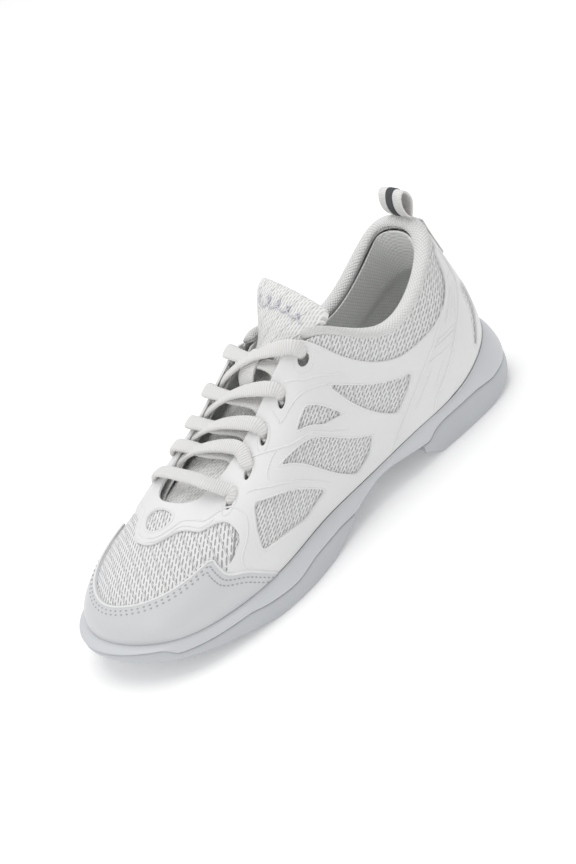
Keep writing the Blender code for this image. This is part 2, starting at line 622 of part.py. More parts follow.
def crossing(row, side):
    """Lace from under hole (row, side), over the tongue, down through the next hole up on the other side."""
    high = 7.9 if side > 0 else 3.1
    left, right = edge_point(row, side, -0.12, 1.0, -7.3), edge_point(row - 1, -side, 0.12, 1.0, 3.7)
    x = 0.5 * (left[0] + right[0])
    middle = np.array([x, 0.0, float(tongue_top(x, 0)) + high])
    near = middle + (left - middle) * 0.45
    near[2] = max(near[2], float(tongue_top(near[0], near[1])) + 3.1)
    return [eyelet_point(row, side, -7.3), left, near, middle, right,
            edge_point(row - 1, -side, 0.05, 0.93, 3.3), eyelet_point(row - 1, -side, 2.9),
            eyelet_point(row - 1, -side, -2.0)]


def tucked_end(side):
    """Lace tail tucked down inside the shoe, under the tongue and forward."""
    s = side
    return [eyelet_point(0, s, -7.3), np.array([12, s * 20.0, 70.0]), np.array([3, s * 17, 57.0]),
            np.array([-20, s * 11, 44.0]), np.array([-48, s * 10, 32.0]), np.array([-74, s * 9, 26.5])]


def lace_path():
    """Whole lace: tail, five rows up one diagonal, bar over the vamp, five rows up the other, tail."""
    def half(side):
        pts, s = [eyelet_point(4, side, -2.0)], side
        for row in (4, 3, 2, 1):
            pts += crossing(row, s)
            s = -s
        return pts + tucked_end(s)
    bar = [eyelet_point(4, -1, 2.8)] + [upper(k, t, 3.0) for k, t in
                                       ((7.6, 0.92), (8.3, 0.98), (9.0, 0.985), (9.7, 0.98), (10.4, 0.92))] \
        + [eyelet_point(4, 1, 2.8)]
    return half(-1)[::-1] + bar + half(1)


def build_lace():
    """One lace with its real route; the tails end in plastic tips."""
    path = np.array(lace_path())
    spline_curve("lace", path, LACE_RADIUS, WARM)
    for name, tip, back in (("aglet_lateral", path[-1], path[-2]), ("aglet_medial", path[0], path[1])):
        d = (tip - back) / np.linalg.norm(tip - back)
        tube(name, [tip + d * 0.6, tip + d * 12.0], 1.5, COOL)


def tube(name, ends, radius, color):
    """Straight round rod."""
    a, b = np.array(ends[0]), np.array(ends[1])
    d = (b - a) / np.linalg.norm(b - a)
    u = np.cross(d, [0, 1.0, 0])
    u /= np.linalg.norm(u)
    w = np.cross(d, u)
    turn = np.arange(10) * 2 * math.pi / 10
    circle = np.outer(np.cos(turn), u) + np.outer(np.sin(turn), w)
    return loft(name, [a + circle * radius * 0.8, a + d * 0.5 + circle * radius, b - d * 0.5 + circle * radius,
                       b + circle * radius * 0.8], color, 0.3)


def spline_curve(name, path, radius, color):
    """Round cord through the points of a path."""
    curve = bpy.data.curves.new(name, "CURVE")
    curve.dimensions = "3D"
    curve.bevel_depth = radius * MM
    curve.bevel_resolution = 1
    curve.render_resolution_u = 0
    curve.use_fill_caps = True
    line = curve.splines.new("POLY")
    line.points.add(len(path) - 1)
    for point, co in zip(line.points, path):
        point.co = (*(co * MM), 1.0)
    obj = bpy.data.objects.new(name, curve)
    curve.materials.append(material(name + "_mat", color, 0.9))
    PARTS.objects.link(obj)
    return obj


# ------------------------------------------------------------------ pull loop
def loop_path(grow=0.0):
    """Drop-shaped side view of the pull loop, from its sewn foot up and over."""
    px, _, pz = LOOP_PIVOT
    shape = [(0.0, 0.6), (-2.6, 3.2), (-3.2, 7.0), (-1.6, 11.0), (1.6, 12.8), (4.8, 11.0), (5.6, 7.0), (3.2, 3.2)]
    mid = np.array([1.1, 7.0])
    out = []
    for p in shape:
        v = np.array(p) - mid
        out.append(np.array([px, pz]) + mid + v * (1 + grow / np.linalg.norm(v)))
    return out


def build_pull_loop():
    strap("pull_loop", loop_path(), LOOP_WIDTH, 1.2, WHITE, 0.85, closed=True, pivot=LOOP_PIVOT)
    strap("pull_loop_stripe", loop_path(1.35)[2:7], 7.0, 0.6, DARK, 0.8, pivot=LOOP_PIVOT)
    heel = [wall(0.0, t) for t in (0.66, 0.74, 0.82, 0.90, 0.96)]
    path = [(p[0] + 1.4, p[2]) for p in heel] + [(heel[-1][0] + 1.5, 96.6)]
    strap("pull_loop_anchor", path, LOOP_WIDTH, 0.9, WHITE, 0.85)


build_midsole()
build_pad("outsole_forefoot", 4.5, 13.5, -1.0)
build_pad("outsole_heel", 15.0, 3.0, 1.0)
flat_sheet("strobel_board", 7.0, 0.9, 1.8, WARM, 0.9)
flat_sheet("insole", 7.8, 2.4, 5.4, COOL, 0.8)
build_mesh_and_lining()
build_stiffeners()
build_padding()
build_cage()
build_toe_cap()
build_heel_overlay()
build_collar_roll()
tongue_slab("tongue_lower", -80.0, TONGUE_FOLD - 0.7, 11)
tongue_slab("tongue_upper", TONGUE_FOLD + 0.4, TONGUE_END, 6, pivot=tongue_pivot())
build_keeper()
build_lace()
build_pull_loop()
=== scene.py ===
"""Visual model of a low lace-up cheer trainer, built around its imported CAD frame.

The toe points to -X, the heel to +X and the outer side of the foot to -Y. Sizes in the classes are
millimetres; meshes are written in metres. The upper's wall is one surface wall(k, t): k counts
eighteen stations round the shoe from the back of the heel, t rises from the sole to the top edge.
"""

import logging
import math
from dataclasses import dataclass, field
from enum import Enum
from typing import Callable, Dict, List, Optional, Sequence, Tuple, Union

import bmesh
import bpy
import numpy as np
from mathutils import Matrix


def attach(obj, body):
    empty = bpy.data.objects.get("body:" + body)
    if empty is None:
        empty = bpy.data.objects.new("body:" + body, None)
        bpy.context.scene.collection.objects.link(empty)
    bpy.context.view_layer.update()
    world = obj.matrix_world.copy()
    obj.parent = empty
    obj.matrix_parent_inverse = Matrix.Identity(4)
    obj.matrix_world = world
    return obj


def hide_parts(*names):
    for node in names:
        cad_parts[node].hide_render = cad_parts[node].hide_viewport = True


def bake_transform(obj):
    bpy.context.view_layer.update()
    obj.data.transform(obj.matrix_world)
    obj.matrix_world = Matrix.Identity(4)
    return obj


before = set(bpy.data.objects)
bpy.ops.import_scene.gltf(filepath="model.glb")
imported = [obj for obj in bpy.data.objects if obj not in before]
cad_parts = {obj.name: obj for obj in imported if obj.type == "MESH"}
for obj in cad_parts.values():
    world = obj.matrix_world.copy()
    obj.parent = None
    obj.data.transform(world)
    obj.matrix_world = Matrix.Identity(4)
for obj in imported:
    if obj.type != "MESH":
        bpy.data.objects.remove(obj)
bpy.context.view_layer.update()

logging.basicConfig(level=logging.INFO, format="%(name)s: %(message)s")
LOG = logging.getLogger("cheer_shoe")

Array = np.ndarray
Level = Union[float, Callable[[Array, Array], Array]]
MM = 0.001
TAU = 2 * math.pi
UP = np.array([0.0, 0.0, 1.0])


class Body(Enum):
    """Rigid bodies of the frame that pieces ride on."""

    REAR = "rearfoot"
    FORE = "forefoot"
    TONGUE = "tongue_top"
    LOOP = "heel_loop"


# ---------------------------------------------------------------------------- shader building
class Signal:
    """A shader socket that takes part in Python arithmetic."""

    def __init__(self, shade: "Shade", socket: bpy.types.NodeSocket) -> None:
        """Wraps one output socket of a material."""
        self.shade, self.socket = shade, socket

    def _math(self, operation: str, *values: object) -> "Signal":
        """Math node on the given values, in order."""
        return self.shade.node("ShaderNodeMath", {"operation": operation}, dict(enumerate(values)))

    def __add__(self, other: object) -> "Signal":
        """self + other."""
        return self._math("ADD", self, other)

    def __sub__(self, other: object) -> "Signal":
        """self - other."""
        return self._math("SUBTRACT", self, other)

    def __rsub__(self, other: object) -> "Signal":
        """other - self."""
        return self._math("SUBTRACT", other, self)

    def __mul__(self, other: object) -> "Signal":
        """self * other."""
        return self._math("MULTIPLY", self, other)

    def __truediv__(self, other: object) -> "Signal":
        """self / other."""
        return self._math("DIVIDE", self, other)

    __radd__, __rmul__ = __add__, __mul__

    def fract(self) -> "Signal":
        """Part after the decimal point."""
        return self._math("FRACT", self)

    def floor(self) -> "Signal":
        """Whole number below."""
        return self._math("FLOOR", self)

    def odd(self) -> "Signal":
        """1 where the whole number is odd, 0 where it is even."""
        return (self * 0.5).fract() * 2

    def sine(self) -> "Signal":
        """Sine of an angle in radians."""
        return self._math("SINE", self)

    def size(self) -> "Signal":
        """Absolute value."""
        return self._math("ABSOLUTE", self)

    def most(self, other: object) -> "Signal":
        """Larger of two values."""
        return self._math("MAXIMUM", self, other)

    def ease(self, low: float, high: float) -> "Signal":
        """Smooth step from 0 at low to 1 at high."""
        return self.shade.node("ShaderNodeMapRange", {"interpolation_type": "SMOOTHSTEP"},
                               {"Value": self, "From Min": low, "From Max": high})


class Shade:
    """One material under construction."""

    def __init__(self, name: str) -> None:
        """Starts a material with a Principled shader."""
        self.material = bpy.data.materials.new(name)
        self.material.use_nodes = True
        self.tree = self.material.node_tree
        self.bsdf = self.tree.nodes["Principled BSDF"]

    def node(self, kind: str, settings: Optional[Dict[str, object]] = None,
             inputs: Optional[Dict[object, object]] = None, out: object = 0) -> Signal:
        """Adds a node: settings first, then values or links of its sockets.

        Args:
            kind: Blender node type.
            settings: attribute values set before anything is linked.
            inputs: socket name or number to a value, a colour or a Signal.
            out: the output socket to return.

        Returns:
            The chosen output as a Signal.
        """
        made = self.tree.nodes.new(kind)
        for key, value in (settings or {}).items():
            setattr(made, key, value)
        for key, value in (inputs or {}).items():
            self.feed(made.inputs[key], value)
        return Signal(self, made.outputs[out])

    def feed(self, socket: bpy.types.NodeSocket, value: object) -> None:
        """Links a Signal to a socket, or sets the socket's own value."""
        if isinstance(value, Signal):
            self.tree.links.new(value.socket, socket)
        else:
            socket.default_value = value

    def base(self, **values: object) -> None:
        """Sets sockets of the Principled shader; words are joined by underscores."""
        for key, value in values.items():
            self.feed(self.bsdf.inputs[key.replace("_", " ")], value)

    def blend(self, amount: Signal, first: Tuple[float, ...], second: Tuple[float, ...]) -> Signal:
        """Colour from first to second as amount goes from 0 to 1."""
        return self.node("ShaderNodeMix", {"data_type": "RGBA"},
                         {"Factor": amount, 6: (*first, 1.0), 7: (*second, 1.0)}, 2)

    def place(self) -> Signal:
        """Object coordinates."""
        return self.node("ShaderNodeTexCoord", out="Object")

    def weave(self) -> Tuple[Signal, Signal]:
        """The piece's own surface coordinates in millimetres."""
        read = self.node("ShaderNodeAttribute", {"attribute_name": "weave"}, out="Vector")
        split = self.node("ShaderNodeSeparateXYZ", None, {0: read})
        return split, Signal(self, split.socket.node.outputs[1])

    def noise(self, scale: float, detail: float = 3.0, rough: float = 0.55) -> Signal:
        """Fine random relief at a scale in cells per metre."""
        return self.node("ShaderNodeTexNoise", None,
                         {"Vector": self.place(), "Scale": scale, "Detail": detail, "Roughness": rough})

    def bump(self, height: Signal, depth: float, strength: float = 1.0) -> None:
        """Feeds a height pattern of a depth in millimetres to the shader's normal."""
        made = self.node("ShaderNodeBump", None, {"Strength": strength, "Distance": depth * MM,
                                                  "Height": height})
        self.feed(self.bsdf.inputs["Normal"], made)


@dataclass(frozen=True)
class Finish:
    """A surface finish: colour, gloss and how much both drift."""

    name: str
    color: Tuple[float, float, float]
    rough: float = 0.5
    drift: float = 0.03

    def tint(self, amount: float) -> Tuple[float, float, float]:
        """The finish's colour made darker or lighter."""
        return tuple(min(1.0, c * amount) for c in self.color)

    def pattern(self, shade: Shade) -> Optional[Signal]:
        """Adds the finish's own relief and returns its shadow mask, if it has one."""
        return None

    def build(self) -> bpy.types.Material:
        """Makes the material: base colour with a slow drift, then the finish's own pattern and its painted
        shade.
        """
        shade = Shade(self.name)
        cloud = shade.noise(38.0, 4.0)
        mask = self.pattern(shade)
        amount = cloud.ease(0.3, 0.7) * self.drift
        # painted shade: the pattern's shade mask darkens the colour in slots, knit hollows and between ribs
        if mask is not None:
            amount = (amount + mask).most(0.0)
        shade.base(Base_Color=shade.blend(amount, self.color, self.tint(0.25)),
                   Roughness=cloud * 0.16 + (self.rough - 0.08))
        return shade.material


@dataclass(frozen=True)
class Film(Finish):
    """Smooth fused plastic film with a fine pebble."""

    grain: float = 1800.0
    depth: float = 0.03

    def pattern(self, shade: Shade) -> Optional[Signal]:
        """Pebble from small cells over fine noise."""
        cells = shade.node("ShaderNodeTexVoronoi", {"feature": "SMOOTH_F1"},
                           {"Vector": shade.place(), "Scale": self.grain})
        shade.bump(cells + shade.noise(self.grain * 1.6) * 0.6, self.depth, 0.7)
        return None


@dataclass(frozen=True)
class SlotMesh(Finish):
    """Engineered mesh: slanted lens-shaped slots in half-stepped rows under fine raised ridges, with painted
    shade in the slots.
    """

    pitch: float = 1.75
    length: float = 3.5
    angle: float = 28.0
    ridge_angle: float = 62.0
    ridge_gap: float = 5.4
    # dark: how strongly the painted shade darkens the slots
    dark: float = 0.62

    def pattern(self, shade: Shade) -> Optional[Signal]:
        """Rotates the surface coordinates and repeats one slot per cell.

        Returns:
            The painted shade in the slots, none where a ridge crosses them.
        """
        u, v = shade.weave()
        c, s = math.cos(math.radians(self.angle)), math.sin(math.radians(self.angle))
        along, across = u * c + v * s, v * c - u * s
        col = across / self.pitch
        row = along / self.length + col.floor().odd() * 0.5
        fx, fy = (col.fract() - 0.5) / 0.21, (row.fract() - 0.5) / 0.45
        slot = 1 - (fx * fx + fy * fy).ease(0.55, 1.05)
        rc, rs = math.cos(math.radians(self.ridge_angle)), math.sin(math.radians(self.ridge_angle))
        line = ((v * rc - u * rs) / self.ridge_gap).fract() - 0.5
        ridge = 1 - line.size().ease(0.02, 0.09)
        yarn = (across * (TAU / 0.5)).sine() * 0.08 + (along * (TAU / 0.6)).sine() * 0.08
        shade.bump(ridge * 1.3 - slot * 1.3 * (1 - ridge) + yarn, 0.45, 0.9)
        # painted shade: the slots darken the base colour as though shade lay in them
        return slot * (1 - ridge) * self.dark


@dataclass(frozen=True)
class Knit(Finish):
    """Close knit of small diamonds."""

    stitch: float = 1.9
    depth: float = 0.4
    dark: float = 0.30

    def pattern(self, shade: Shade) -> Optional[Signal]:
        """Product of two slanted sine waves; the hollows between loops are darker.

        Returns:
            The shadow in the hollows.
        """
        u, v = shade.weave()
        wave = ((u + v) * (TAU / self.stitch / 2)).sine() * ((u - v) * (TAU / self.stitch / 2)).sine()
        loops = wave.size()
        shade.bump(loops + shade.noise(4000.0) * 0.15, self.depth, 0.9)
        return (1 - loops.ease(0.0, 0.35)) * self.dark


@dataclass(frozen=True)
class Ribbed(Finish):
    """Woven band with ribs across its length and a finer thread along it."""

    rib: float = 1.1
    depth: float = 0.25
    dark: float = 0.16

    def pattern(self, shade: Shade) -> Optional[Signal]:
        """Rounded ribs with thread lines.

        Returns:
            The shadow between the ribs.
        """
        u, v = shade.weave()
        ribs = (u * (math.pi / self.rib)).sine().size()
        threads = (v * (math.pi / 0.55) + u * 1.2).sine().size()
        shade.bump(ribs + threads * 0.35, self.depth, 0.9)
        return (1 - ribs.ease(0.05, 0.5)) * self.dark


@dataclass(frozen=True)
class Foam(Finish):
    """Moulded foam or rubber: fine skin with faint mould marks."""

    grain: float = 2600.0
    depth: float = 0.04

    def pattern(self, shade: Shade) -> Optional[Signal]:
        """Two scales of noise."""
        shade.bump(shade.noise(self.grain) + shade.noise(420.0) * 0.5, self.depth, 0.6)
        return None


class Finishes:
    """Every finish of the shoe, made once."""

    def __init__(self) -> None:
        """Builds the materials."""
        self.cage = Film("cage_film", (0.80, 0.80, 0.80), 0.44).build()
        self.toe = Film("toe_leather", (0.64, 0.65, 0.665), 0.36, grain=1300.0, depth=0.05).build()
        self.mesh = SlotMesh("slot_mesh", (0.86, 0.86, 0.86), 0.85).build()
        self.tongue_mesh = SlotMesh("tongue_mesh", (0.90, 0.90, 0.89), 0.85, pitch=1.5, length=3.0,
                                    angle=-14.0, ridge_angle=-35.0, ridge_gap=7.0, dark=0.30).build()
        self.knit = Knit("collar_knit", (0.86, 0.86, 0.85), 0.85).build()
        self.lining = Knit("heel_lining", (0.86, 0.87, 0.85), 0.9, stitch=2.2, depth=0.25, dark=0.25).build()
        self.insole = Knit("insole_fabric", (0.66, 0.66, 0.66), 0.9, stitch=1.2, depth=0.15).build()
        self.foam = Foam("sole_foam", (0.62, 0.635, 0.66), 0.45).build()
        self.rubber = Foam("outsole_rubber", (0.54, 0.555, 0.58), 0.5, grain=1800.0, depth=0.07).build()
        self.lace = Ribbed("lace_weave", (0.82, 0.815, 0.80), 0.8).build()
        self.webbing = Ribbed("webbing", (0.86, 0.855, 0.84), 0.8, rib=0.8).build()
        self.stripe = Ribbed("dark_stripe", (0.075, 0.078, 0.085), 0.7, rib=0.6).build()
        # painted shade: the thread is grey so the stitch rows read as the shaded dashes of stitch holes
        self.thread = Ribbed("sewing_thread_painted_shade", (0.46, 0.46, 0.47), 0.6, rib=0.4).build()
        self.silk = Ribbed("embroidery_silk", (0.84, 0.84, 0.90), 0.35, rib=0.5, dark=0.25).build()
        self.board = Foam("board", (0.78, 0.77, 0.74), 0.9).build()
        self.plastic = Foam("clear_tip", (0.80, 0.80, 0.80), 0.2).build()


# ---------------------------------------------------------------------------- curves and surfaces
def smooth(knots: Sequence[Tuple[float, float]], x: Array) -> Array:
    """Piecewise cubic through (x, value) knots whose slope is the harmonic mean of its neighbours."""
    ks = np.array(knots, float)
    rise = np.diff(ks[:, 1]) / np.diff(ks[:, 0])
    before, after = np.append(rise[:1], rise), np.append(rise, rise[-1:])
    total = np.where(before + after == 0, 1, before + after)
    slopes = np.where(before * after > 0, 2 * before * after / total, 0)
    x = np.clip(np.asarray(x, float), ks[0, 0], ks[-1, 0])
    i = np.clip(np.searchsorted(ks[:, 0], x, side="right") - 1, 0, len(ks) - 2)
    h = ks[i + 1, 0] - ks[i, 0]
    u = (x - ks[i, 0]) / h
    return ((2 * u**3 - 3 * u**2 + 1) * ks[i, 1] + (u**3 - 2 * u**2 + u) * h * slopes[i]
            + (3 * u**2 - 2 * u**3) * ks[i + 1, 1] + (u**3 - u**2) * h * slopes[i + 1])


def ease(u: Array) -> Array:
    """Smooth step of a value already scaled to 0..1."""
    u = np.clip(u, 0, 1)
    return u * u * (3 - 2 * u)


def unit(v: Array) -> Array:
    """Vectors along the last axis brought to length one."""
    return v / np.maximum(np.linalg.norm(v, axis=-1, keepdims=True), 1e-9)


def eased_row(rows: Array) -> Array:
    """Each row averaged 1:2:1 with its neighbours; the two ends stay."""
    return np.concatenate([rows[:1], 0.25 * rows[:-2] + 0.5 * rows[1:-1] + 0.25 * rows[2:], rows[-1:]])


def spline(points: Sequence[Sequence[float]], step: float, scale: Sequence[float] = (1.0,),
           closed: bool = False) -> Array:
    """Catmull-Rom curve through points, in even steps of its own length.

    Args:
        points: the points it passes.
        step: distance between the samples.
        scale: factor on each coordinate when lengths are measured.
        closed: True to join the last point to the first.

    Returns:
        The samples, one row each.
    """
    p = np.array(points, float)
    ring = np.concatenate([p[-1:], p, p[:2]]) if closed else \
        np.concatenate([2 * p[:1] - p[1:2], p, 2 * p[-1:] - p[-2:-1]])
    u = np.linspace(0, 1, 24, endpoint=False)[None, :, None]
    a, b, c, d = (ring[i:len(ring) - 3 + i][:, None] for i in range(4))
    dense = 0.5 * (2 * b + (c - a) * u + (2 * a - 5 * b + 4 * c - d) * u**2 + (3 * b - a - 3 * c + d) * u**3)
    dense = np.concatenate([dense.reshape(-1, p.shape[1]), ring[-2:-1]])
    run = np.concatenate([[0], np.cumsum(np.linalg.norm(np.diff(dense, axis=0) * scale, axis=1))])
    count = max(3, int(round(run[-1] / step)))
    at = np.linspace(0, run[-1], count + 1)
    out = np.stack([np.interp(at, run, dense[:, c]) for c in range(p.shape[1])], -1)
    return out[:-1] if closed else out


class Last:
    """The upper's wall as a surface of station k and rise t."""

    STATIONS = np.array([
        [125, 0, 33, 118, 0, 97, 22, 9, 24, 84], [114, -25, 31, 112, -19, 92, 20, 9, 24, 84],
        [86, -35, 23, 90, -30, 80, 18, 8, 20, 84], [52, -35, 20, 62, -32, 74, 18, 4, 20, 84],
        [18, -34, 17, 38, -27, 90.5, 24, 6, 26, 78], [-16, -39, 18, 19, -17.5, 92, 28, 8, 24, 52],
        [-48, -45, 17, -10, -17, 75, 24, 10, 22, 38], [-82, -42, 16, -35, -16.5, 62, 18, 12, 22, 27],
        [-110, -29, 18, -55, -12, 55.5, 15, 12, 26, 20], [-125, 4, 20, -64, 1, 56, 13, 8, 28, 18],
        [-113, 33, 20, -62, 12, 57, 14, 2, 24, 22], [-84, 42, 18, -46, 16, 62.5, 18, 4, 20, 28],
        [-50, 42, 17, -21, 17, 73.5, 24, 8, 20, 40], [-18, 33, 18, 8, 18, 88, 26, 10, 24, 52],
        [16, 28, 20, 34, 27, 84, 22, 10, 22, 78], [52, 30, 21, 60, 31, 70, 18, 10, 18, 84],
        [86, 33, 24, 88, 30, 78, 20, 10, 20, 84], [114, 25, 31, 110, 22, 93, 22, 10, 24, 84]], float)
    TURN = 18.0
    SKIRT = 2.0
    SCALE = np.array([30.0, 75.0])
    NUDGE = 1e-3

    def __init__(self) -> None:
        """Fits one closed cubic spline to each column of the station table."""
        n = len(self.STATIONS)
        eye = np.eye(n)
        bend = 4 * eye + np.roll(eye, 1, 1) + np.roll(eye, -1, 1)
        y = self.STATIONS
        self.bow = np.linalg.solve(bend, 6 * (np.roll(y, 1, 0) - 2 * y + np.roll(y, -1, 0)))

    def column(self, k: Array, y: Optional[Array] = None, bow: Optional[Array] = None) -> Array:
        """Station values at k: linear between two stations plus the cubic spline's bow."""
        y, bow = (self.STATIONS, self.bow) if y is None else (y, bow)
        k = np.mod(k, self.TURN)
        i = np.floor(k).astype(int) % len(y)
        j = (i + 1) % len(y)
        u = (k - np.floor(k))[..., None]
        v = 1 - u
        return v * y[i] + u * y[j] + ((v**3 - v) * bow[i] + (u**3 - u) * bow[j]) / 6

    def outward(self, k: Array) -> Array:
        """Level direction out of the footprint: the foot line's tangent turned by a right angle."""
        d = self.column(k + self.NUDGE) - self.column(k - self.NUDGE)
        return unit(np.stack([-d[..., 1], d[..., 0], 0 * d[..., 0]], -1))

    def wall(self, k: Array, t: Array) -> Array:
        """Cubic Bezier from the foot line up to the top edge; below t = 0 it runs straight down."""
        k, t = np.broadcast_arrays(np.asarray(k, float), np.asarray(t, float))
        v = self.column(k)
        foot, top = v[..., 0:3], v[..., 3:6]
        n = self.outward(k)
        out = unit((foot - top) * [1, 1, 0])
        a, b = np.radians(v[..., 7])[..., None], np.radians(v[..., 9])[..., None]
        lean = unit((1 - np.sin(b)) * out + np.sin(b) * n)
        p1 = foot + v[..., 6:7] * (np.cos(a) * UP + np.sin(a) * n)
        p2 = top + v[..., 8:9] * (np.cos(b) * lean - np.sin(b) * UP)
        u = np.clip(t, 0, None)[..., None]
        s = 1 - u
        return s**3 * foot + 3 * s**2 * u * p1 + 3 * s * u**2 * p2 + u**3 * top \
            + np.minimum(t, 0)[..., None] * self.SKIRT * UP

    def normal(self, k: Array, t: Array) -> Array:
        """Outward normal: cross product of the wall's two tangents."""
        d = self.NUDGE
        up = self.wall(k, t + d) - self.wall(k, t - d)
        return unit(np.cross(up, self.wall(k + d, t) - self.wall(k - d, t)))

    def at(self, k: Array, t: Array, off: Union[float, Array] = 0.0) -> Array:
        """Point on the wall moved out along its normal by off."""
        k, t = np.broadcast_arrays(np.asarray(k, float), np.asarray(t, float))
        return self.wall(k, t) + np.asarray(off, float)[..., None] * self.normal(k, t)

    def weave(self, k: Array, t: Array) -> Array:
        """Cloth coordinates in millimetres: (x, height along the wall) on the sides, (x, y) on the vamp."""
        p = self.wall(k, t)
        near = np.abs(np.mod(k, 18) - 9) < 2.2
        steps = np.linspace(0, 1, 13)
        grid = self.wall(k[..., None], steps * np.ones_like(k)[..., None])
        high = np.sum(np.linalg.norm(np.diff(grid, axis=-2), axis=-1), -1)
        side = np.stack([p[..., 0], t * high, 0 * t], -1)
        flat = np.stack([p[..., 0], p[..., 1], 0 * t], -1)
        return np.where(near[..., None], flat, side)


LAST = Last()
FLARE_Y = np.array([5.0, 3.5, 0.0, 0.0, 0.0, 3.5, 4.5, 4.0, 4.0, 5.5, 4.0, 4.0, 4.0, 3.0, 0.5, 0.0, 0.0, 3.0])


def lining_depth(k: Array, t: Array) -> Array:
    """Depth of the lining below the wall: 4 mm, eased 4.6 mm deeper behind the collar padding."""
    near_heel = 1 - np.clip((np.abs(np.mod(k + 9, 18) - 9) - 3.2) / 1.4, 0, 1)
    return 4.0 + 4.6 * ease(near_heel) * ease((t - 0.40) / 0.20)


def top_edge(k: Array) -> Array:
    """Highest row of mesh and lining: lower behind the collar roll than at the throat."""
    near = np.abs(np.mod(k + 9, 18) - 9)
    return 0.955 + 0.023 * np.clip((near - 4.9) / 0.5, 0, 1)


# ---------------------------------------------------------------------------- mesh building
class Solid:
    """Points, faces and cloth coordinates gathered for one piece."""

    def __init__(self) -> None:
        """Starts empty."""
        self.points: List[Array] = []
        self.faces: List[Array] = []
        self.cloth: List[Array] = []
        self.count = 0

    def add(self, points: Array, faces: Sequence[Array], cloth: Optional[Array] = None) -> "Solid":
        """Adds points in millimetres with face index arrays and cloth coordinates."""
        pts = np.asarray(points, float).reshape(-1, 3)
        self.points.append(pts)
        self.cloth.append(np.zeros_like(pts) if cloth is None else np.asarray(cloth, float).reshape(-1, 3))
        self.faces += [np.asarray(f) + self.count for f in faces]
        self.count += len(pts)
        return self

    def make(self, name: str, material: bpy.types.Material) -> bpy.types.Object:
        """Writes the mesh object, smooth-shaded, with its cloth coordinates as an attribute."""
        mesh = bpy.data.meshes.new(name)
        faces = [row for f in self.faces for row in f.tolist()]
        mesh.from_pydata((np.concatenate(self.points) * MM).tolist(), [], faces)
        mark = mesh.attributes.new("weave", "FLOAT_VECTOR", "POINT")
        mark.data.foreach_set("vector", np.concatenate(self.cloth).astype(np.float32).ravel())
        mesh.validate()
        mesh.shade_smooth()
        mesh.set_sharp_from_angle(angle=math.radians(50))
        mesh.materials.append(material)
        obj = bpy.data.objects.new(name, mesh)
        bpy.context.scene.collection.objects.link(obj)
        LOG.info("%-22s %6d faces", name, len(mesh.polygons))
        return obj


def grid_faces(rows: int, cols: int, wrap_rows: bool = False, wrap_cols: bool = False) -> Array:
    """Quads of a rows x cols grid of points, outward when columns turn left of rows."""
    r = np.arange(rows if wrap_rows else rows - 1)
    c = np.arange(cols if wrap_cols else cols - 1)
    r, c = np.meshgrid(r, c, indexing="ij")
    r2, c2 = (r + 1) % rows, (c + 1) % cols
    return np.stack([r * cols + c, r * cols + c2, r2 * cols + c2, r2 * cols + c], -1).reshape(-1, 4)


def add_tube(solid: Solid, path: Array, side: Array, up: Array, profile: Array,
             closed: bool = False, cloth_scale: float = 1.0) -> Solid:
    """Carries a closed profile along a path.

    A point is path + side * profile_x + up * profile_y; the profile is (m, 2) or (n, m, 2).
    """
    prof = np.broadcast_to(profile, (len(path),) + profile.shape[-2:])
    pts = path[:, None] + side[:, None] * prof[..., 0:1] + up[:, None] * prof[..., 1:2]
    n, m = pts.shape[:2]
    run = np.concatenate([[0], np.cumsum(np.linalg.norm(np.diff(path, axis=0), axis=1))])
    cloth = np.stack([np.broadcast_to(run[:, None], (n, m)), prof[..., 0] * cloth_scale + 0 * prof[..., 1],
                      np.zeros((n, m))], -1)
    faces = [grid_faces(n, m, closed, True)]
    if not closed:
        first, last = np.arange(m)[::-1][None], np.arange(m)[None] + (n - 1) * m
        faces += [first, last]
    return solid.add(pts, faces, cloth)


def oval(width: float, height: float, count: int = 20, square: float = 1.0) -> Array:
    """Closed superellipse: cosine and sine raised to the power square."""
    a = np.arange(count) * TAU / count
    c, s = np.cos(a), np.sin(a)
    return np.stack([np.sign(c) * np.abs(c)**square * width / 2,
                     np.sign(s) * np.abs(s)**square * height / 2], -1)


def tangents(path: Array, closed: bool = False) -> Array:
    """Unit tangents by central differences."""
    if closed:
        return unit(np.roll(path, -1, 0) - np.roll(path, 1, 0))
    return unit(np.gradient(path, axis=0))


def rounded_loop(points: Sequence[Sequence[float]], radius: float = 3.0) -> Array:
    """Closed outline with every corner replaced by a quadratic curve.

    Args:
        points: corners in (k, t).
        radius: how far from each corner its curve starts, in millimetres; at most half a side.

    Returns:
        The outline's points, three or more to a corner.
    """
    p = np.array(points, float)
    before, after = np.roll(p, 1, 0) - p, np.roll(p, -1, 0) - p
    far_a = np.linalg.norm(before * Last.SCALE, axis=1, keepdims=True)
    far_b = np.linalg.norm(after * Last.SCALE, axis=1, keepdims=True)
    a = p + before * np.minimum(radius / far_a, 0.48)
    b = p + after * np.minimum(radius / far_b, 0.48)
    u = np.linspace(0, 1, 6)[None, :, None]
    return ((1 - u)**2 * a[:, None] + 2 * u * (1 - u) * p[:, None] + u**2 * b[:, None]).reshape(-1, 2)


def mirrored(points: Sequence[Sequence[float]]) -> List[Tuple[float, float]]:
    """The same outline on the other side of the shoe."""
    return [(Last.TURN - k, t) for k, t in reversed([tuple(p) for p in points])]


def hole_loop(k: float, t: float, radius: float, count: int = 28) -> Array:
    """Round hole of a radius in millimetres, drawn in station units."""
    d = 1e-3
    along = float(np.linalg.norm(LAST.wall(k + d, t) - LAST.wall(k - d, t))) / (2 * d)
    rise = float(np.linalg.norm(LAST.wall(k, t + d) - LAST.wall(k, t - d))) / (2 * d)
    a = np.arange(count) * TAU / count
    return np.stack([k + radius * np.cos(a) / along, t + radius * np.sin(a) / rise], -1)


